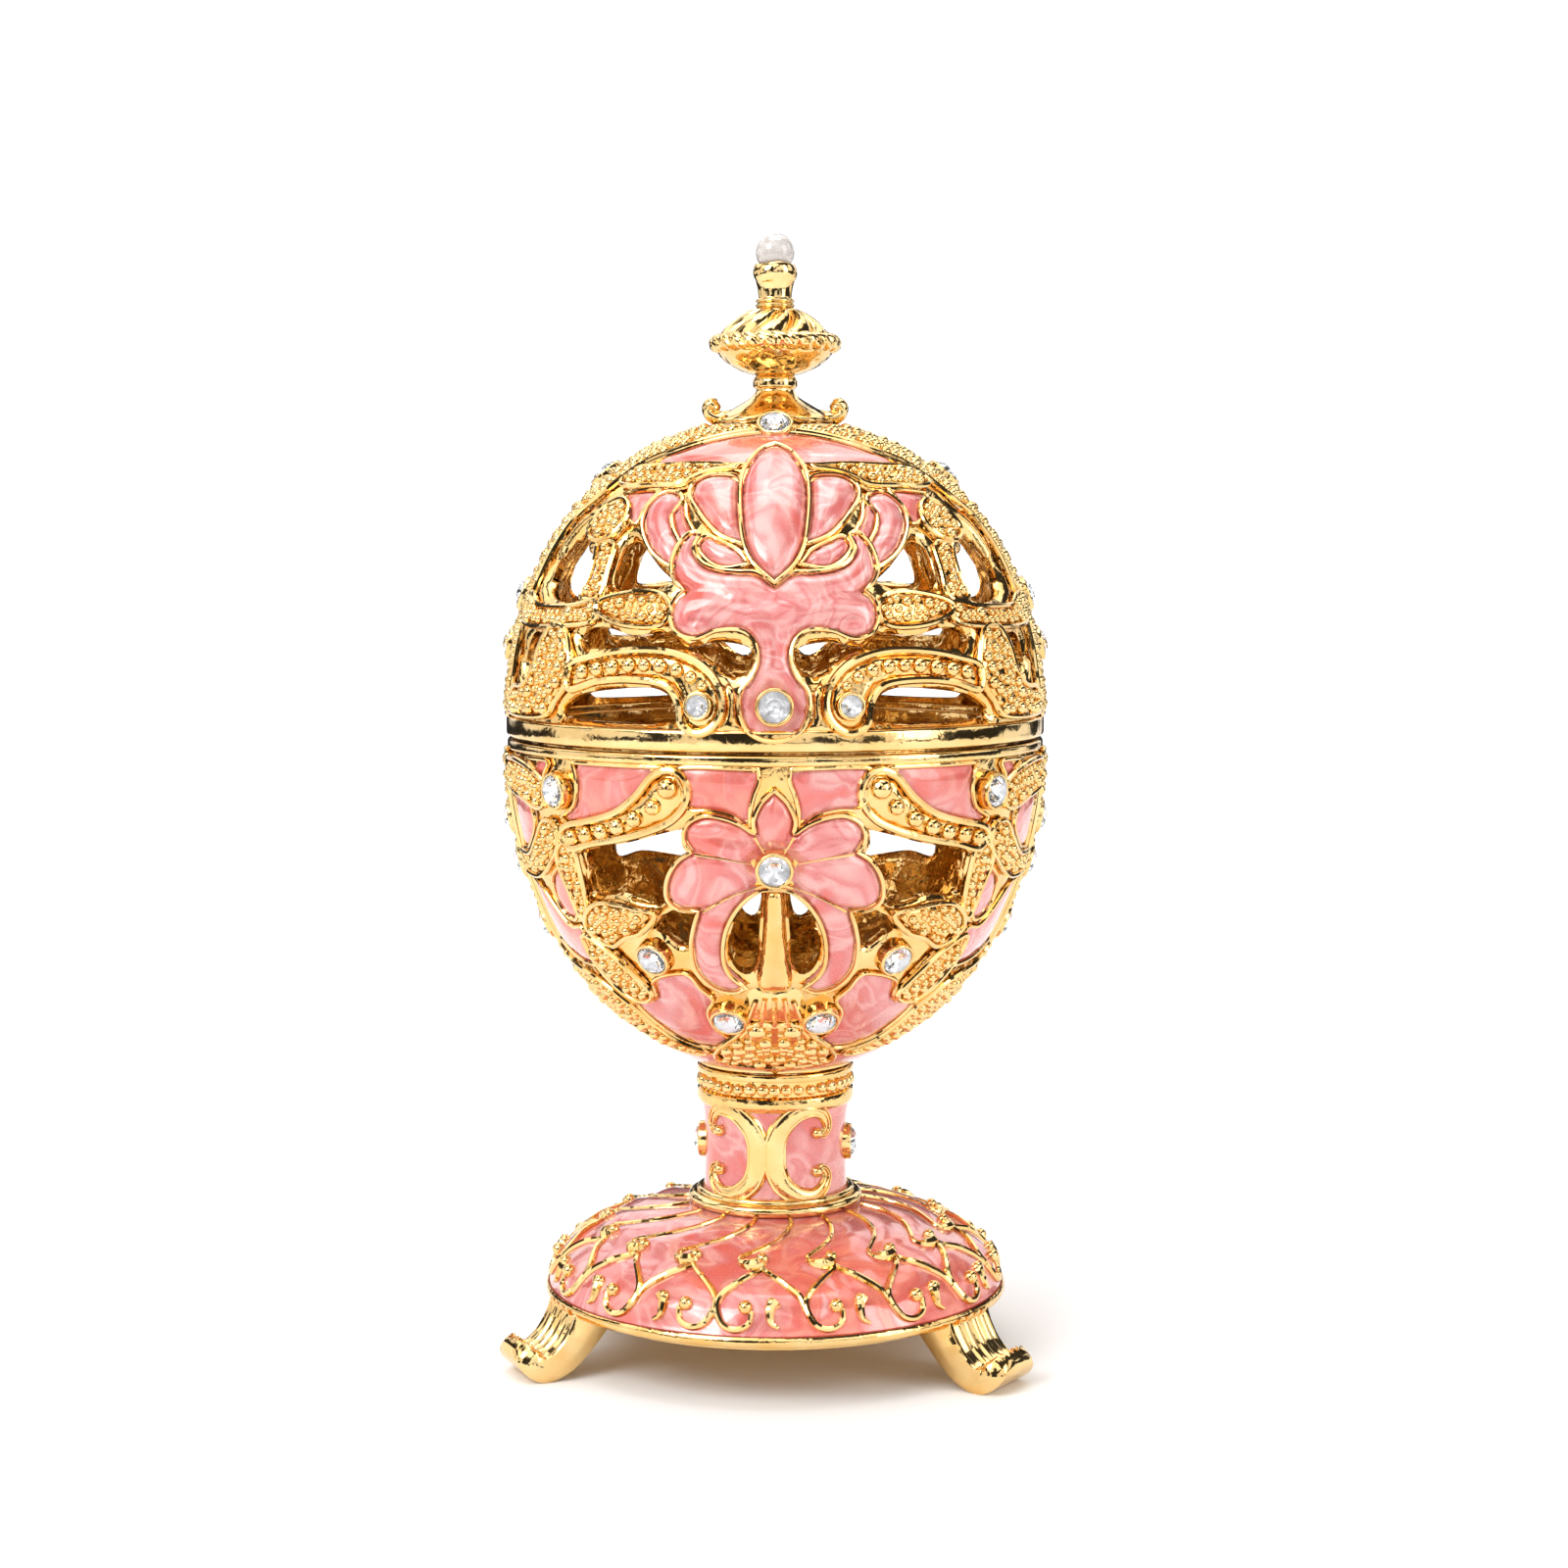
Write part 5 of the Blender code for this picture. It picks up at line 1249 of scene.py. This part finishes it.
# The finial: skirt with curled tips, crinkled cone, roped disc with swirled lobes, neck and cup
finial = {"lobes": 10, "swirl": 44.0, "lobe": 0.55 * mm,
          "lobesFrom": 8.9, "lobesTo": 12.3, "lobesBeyond": 2.2,
          "rope": 6.0 * mm, "ropeThick": 1.08 * mm, "ropeHeight": 8.55 * mm, "strands": 24,
          "crinkle": 0.10 * mm, "crinkleFrom": 5.6, "crinkleTo": 8.6, "cupFrom": 14.9, "cupTo": 17,
          "skirtTop": 3.0}
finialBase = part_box("finial")[0].z
finialShape = [(0.02, 0), (5.5, 0), (6.1, 0.15), (6.15, 0.5), (5.6, 1), (4.7, 1.6), (3.6, 2.25), (2.6, 2.9),
    (2.1, 3.5), (2.02, 3.8), (2.02, 3.8), (2.3, 3.95), (2.36, 4.3), (2.34, 4.7), (2.2, 5), (1.95, 5.2),
    (1.95, 5.2), (2.9, 5.45), (4.2, 6), (5.3, 6.75), (6, 7.5), (6.25, 8.3), (6, 9.1), (5.2, 9.9),
    (4.2, 10.75), (3.1, 11.55), (2.2, 12.15), (1.9, 12.3), (2.05, 12.45), (2.05, 12.65), (1.85, 12.8),
    (2.05, 12.95), (2.02, 13.15), (1.8, 13.3), (1.8, 13.7), (1.86, 14.3), (2.02, 14.9), (2.2, 15.3),
    (2.36, 15.65), (2.4, 16.1), (2.28, 16.6), (2.08, 16.9), (1.9, 16.75), (1.55, 16.2), (0.02, 15.8)]


# Swirled lobes on the disc, a crinkled cone under it, a slightly uneven cup and a four-sided skirt
def shapeFinial(turn, radius, z):
    rise, shift = (z - finialBase) / mm, 0.0
    if finial["lobesFrom"] < rise < finial["lobesTo"] and radius > finial["lobesBeyond"] * mm:
        share = (rise - finial["lobesFrom"]) / (finial["lobesTo"] - finial["lobesFrom"])
        shift = finial["swirl"] * share
        wave = abs(sin(radians(turn * finial["lobes"] / 2))) ** 0.5 - 0.6
        lift = finial["lobe"] * sin(pi * share) ** 0.6 * wave
        radius, z = radius + lift, z + lift * 1.3
    if finial["crinkleFrom"] < rise < finial["crinkleTo"]:
        wave = sin(radians(turn * 11) + 4 * sin(rise * 3)) * cos(radians(turn * 5) - rise * 4)
        radius += finial["crinkle"] * wave
    if finial["cupFrom"] < rise < finial["cupTo"]:
        z += 0.10 * mm * sin(radians(turn * 3) + 0.8)
        radius += 0.06 * mm * sin(radians(turn * 2) + 2)
    if rise < finial["skirtTop"] and radius > 0.1 * mm:
        spread = (1 - rise / finial["skirtTop"]) ** 1.2
        arch = max(0, cos(radians(turn * 2)))
        radius += spread * mm * (0.3 * abs(sin(radians(turn * 2))) - 1.5 * arch ** 3)
        if radius > 2.5 * mm:
            z += spread * 1.0 * mm * arch ** 5
    return radius, shift, z


def ropeRing(radius, thick, strands, z):
    around, about = strands * 8, 14
    points = []
    for k in range(around):
        a = 2 * pi * k / around
        for s in range(about):
            b = 2 * pi * s / about
            wave = abs(sin(strands * a / 2 + 0.9 * b))
            size = thick * (0.70 + 0.30 * wave ** 0.5)
            r = radius + size * cos(b)
            points.append((r * sin(a), -r * cos(a), z + size * sin(b) * 0.95))
    return np.array(points), gridFaces(around, about, True, True, True)


# A curl at each side of the finial's foot, as (radius, height) in millimetres
curlLine = [(2.6, 1.0), (4.0, 0.8), (5.2, 0.7), (6.2, 0.75), (6.9, 1.15), (7.1, 1.75), (6.8, 2.15),
            (6.4, 2.0)]


def addCurl(piece, sign):
    line = curvePoints(curlLine, 7)
    centres = np.stack([sign * line[:, 0] * mm, np.zeros(len(line)), finialBase + line[:, 1] * mm], axis=1)
    outs = np.gradient(centres, axis=0)
    outs = np.stack([-outs[:, 2] * sign, np.zeros(len(line)), outs[:, 0] * sign], axis=1)
    t = np.linspace(0, 1, len(line))
    taper = 1.3 - 0.5 * between(t, 0, 0.6) + 0.15 * between(t, 0.65, 0.95)
    piece.add(*wireMesh(centres, outs, 1.35 * mm, False, 16, 0.62, taper))
    addBead(piece, (sign * 6.7 * mm, 0, finialBase + 1.75 * mm), (sign, 0, 0.4), 1.0 * mm, 1.0, ballShape)


finialPiece = Piece("finialTurning")
profile = [(r * mm, finialBase + z * mm) for r, z in smoothProfile(finialShape, 3)]
finialPiece.add(*turnedMesh(profile, 200, warp=shapeFinial))
finialPiece.add(*ropeRing(finial["rope"], finial["ropeThick"], finial["strands"],
                          finialBase + finial["ropeHeight"]))
for sign in (1, -1):
    addCurl(finialPiece, sign)
print("finial laid out")

pearlPiece = Piece("pearlBall")
pearlLow, pearlTop = (corner.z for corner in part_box("pearl"))
pearlSize, pearlMiddle = (pearlTop - pearlLow) / 2, (pearlTop + pearlLow) / 2
pearlProfile = [(pearlSize * cos(a), pearlMiddle + pearlSize * sin(a))
                for a in np.linspace(-pi / 2, pi / 2, 32)]
pearlPiece.add(*turnedMesh(pearlProfile, 48, False))


# Every piece is finished here, and says which of the frame's solids it stands for
def stonesOf(start):
    return [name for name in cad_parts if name.startswith(start) and "stone" in name]


def buildSettings(pieces, start):
    pieces["Bezels"].build(gold, "gilt_metal")
    pieces["Stones"].build(crystal, "clear_stone", stonesOf(start), flat=True)
    pieces["Foils"].build(foil, "clear_stone", flat=True)


for start, half in (("lid", lid), ("bowl", bowl)):
    half["Casting"].build(shadedCastGold, "gilt_metal", ["egg_" + start], 0.01 * mm, 50)
    half["GoldLines"].build(gold, "gilt_metal")
    half["Beads"].build(gold, "gilt_metal")
    half["Enamel"].build(enamel, "pink_enamel")
    buildSettings(half, start + "_")
pedestalCast.build(shadedCastGold, "gilt_metal", ["pedestal"])
pedestalWires.build(gold, "gilt_metal")
pedestalEnamel.build(enamel, "pink_enamel")
pedestalFeet.build(gold, "gilt_metal")
buildSettings(stem, "stem_")
finialPiece.build(gold, "gilt_metal", ["finial"])
pearlPiece.build(pearlFinish, "pearl", ["pearl"], 0.001 * mm)
print("pieces built")

# Floor, light and camera
studio = {"floor": 0.5, "white": (0.93,) * 3, "shade": (0.91,) * 3, "world": 1.8, "cardScale": 2.2,
          "cards": [(0.48, 0.03), (0.52, 1.2)], "glow": [(0.0, 0.50), (0.3, 0.56), (0.6, 0.80), (1.0, 0.88)],
          "backdrop": (0.75,) * 3, "key": 1.7, "fill": 0.6, "top": 0.9,
          "aim": (0, 0, 0.06)}
camera = {"distance": 300.75 * mm, "height": 87.63 * mm, "aside": 0.94 * mm, "pitch": 5.022, "lens": 64.593}


def makeFloor():
    bm = bmesh.new()
    bmesh.ops.create_circle(bm, cap_ends=True, segments=96, radius=studio["floor"])
    mesh = bpy.data.meshes.new("floor")
    bm.to_mesh(mesh)
    bm.free()
    floor = bpy.data.objects.new("floor", mesh)
    bpy.context.scene.collection.objects.link(floor)
    paper = Finish("pale floor", Roughness=0.9, Specular_IOR_Level=0.0)
    cloud = paper.noise(paper.place(), 3.0, 2.0)
    paper.give("Base Color", paper.ramp(cloud, [(0.3, studio["white"]), (0.7, studio["shade"])]))
    mesh.materials.append(paper.material)


def addLight(name, place, size):
    light = bpy.data.lights.new(name, "AREA")
    light.shape, light.size, light.size_y = "RECTANGLE", size[0], size[1]
    light.energy = studio[name]
    item = bpy.data.objects.new(name, light)
    item.location = place
    item.rotation_euler = (Vector(studio["aim"]) - Vector(place)).to_track_quat("-Z", "Y").to_euler()
    bpy.context.scene.collection.objects.link(item)


def makeWorld():
    world = bpy.data.worlds.new("studio")
    world.use_nodes = True
    sky = Nodes(world.node_tree)
    where = sky.node("ShaderNodeTexCoord", output="Generated")
    height = sky.node("ShaderNodeSeparateXYZ", None, {0: where}, 2)
    glow = sky.ramp(height, [(share, (level,) * 3) for share, level in studio["glow"]])
    cards = sky.ramp(sky.noise(where, studio["cardScale"], 1.0),
                     [(share, (level,) * 3) for share, level in studio["cards"]])
    seen = sky.node("ShaderNodeLightPath")
    ground = world.node_tree.nodes["Background"]
    light = sky.mix(1.0, glow, cards, "MULTIPLY")
    sky.feed(ground.inputs["Color"], sky.mix(seen, light, studio["backdrop"]))
    ground.inputs["Strength"].default_value = studio["world"]
    bpy.context.scene.world = world


makeFloor()
makeWorld()
addLight("key", (-0.35, -0.35, 0.42), (0.30, 0.30))
addLight("fill", (0.45, -0.25, 0.22), (0.20, 0.40))
addLight("top", (0, 0.05, 0.60), (0.35, 0.35))
lens = bpy.data.cameras.new("camera")
lens.lens, lens.sensor_width, lens.clip_start = camera["lens"], 36, 0.01
view = bpy.data.objects.new("camera", lens)
view.location = (camera["aside"], -camera["distance"], camera["height"])
view.rotation_euler = (radians(90 - camera["pitch"]), 0, 0)
bpy.context.scene.collection.objects.link(view)
bpy.context.scene.camera = view
bpy.context.scene.view_settings.view_transform = "Standard"
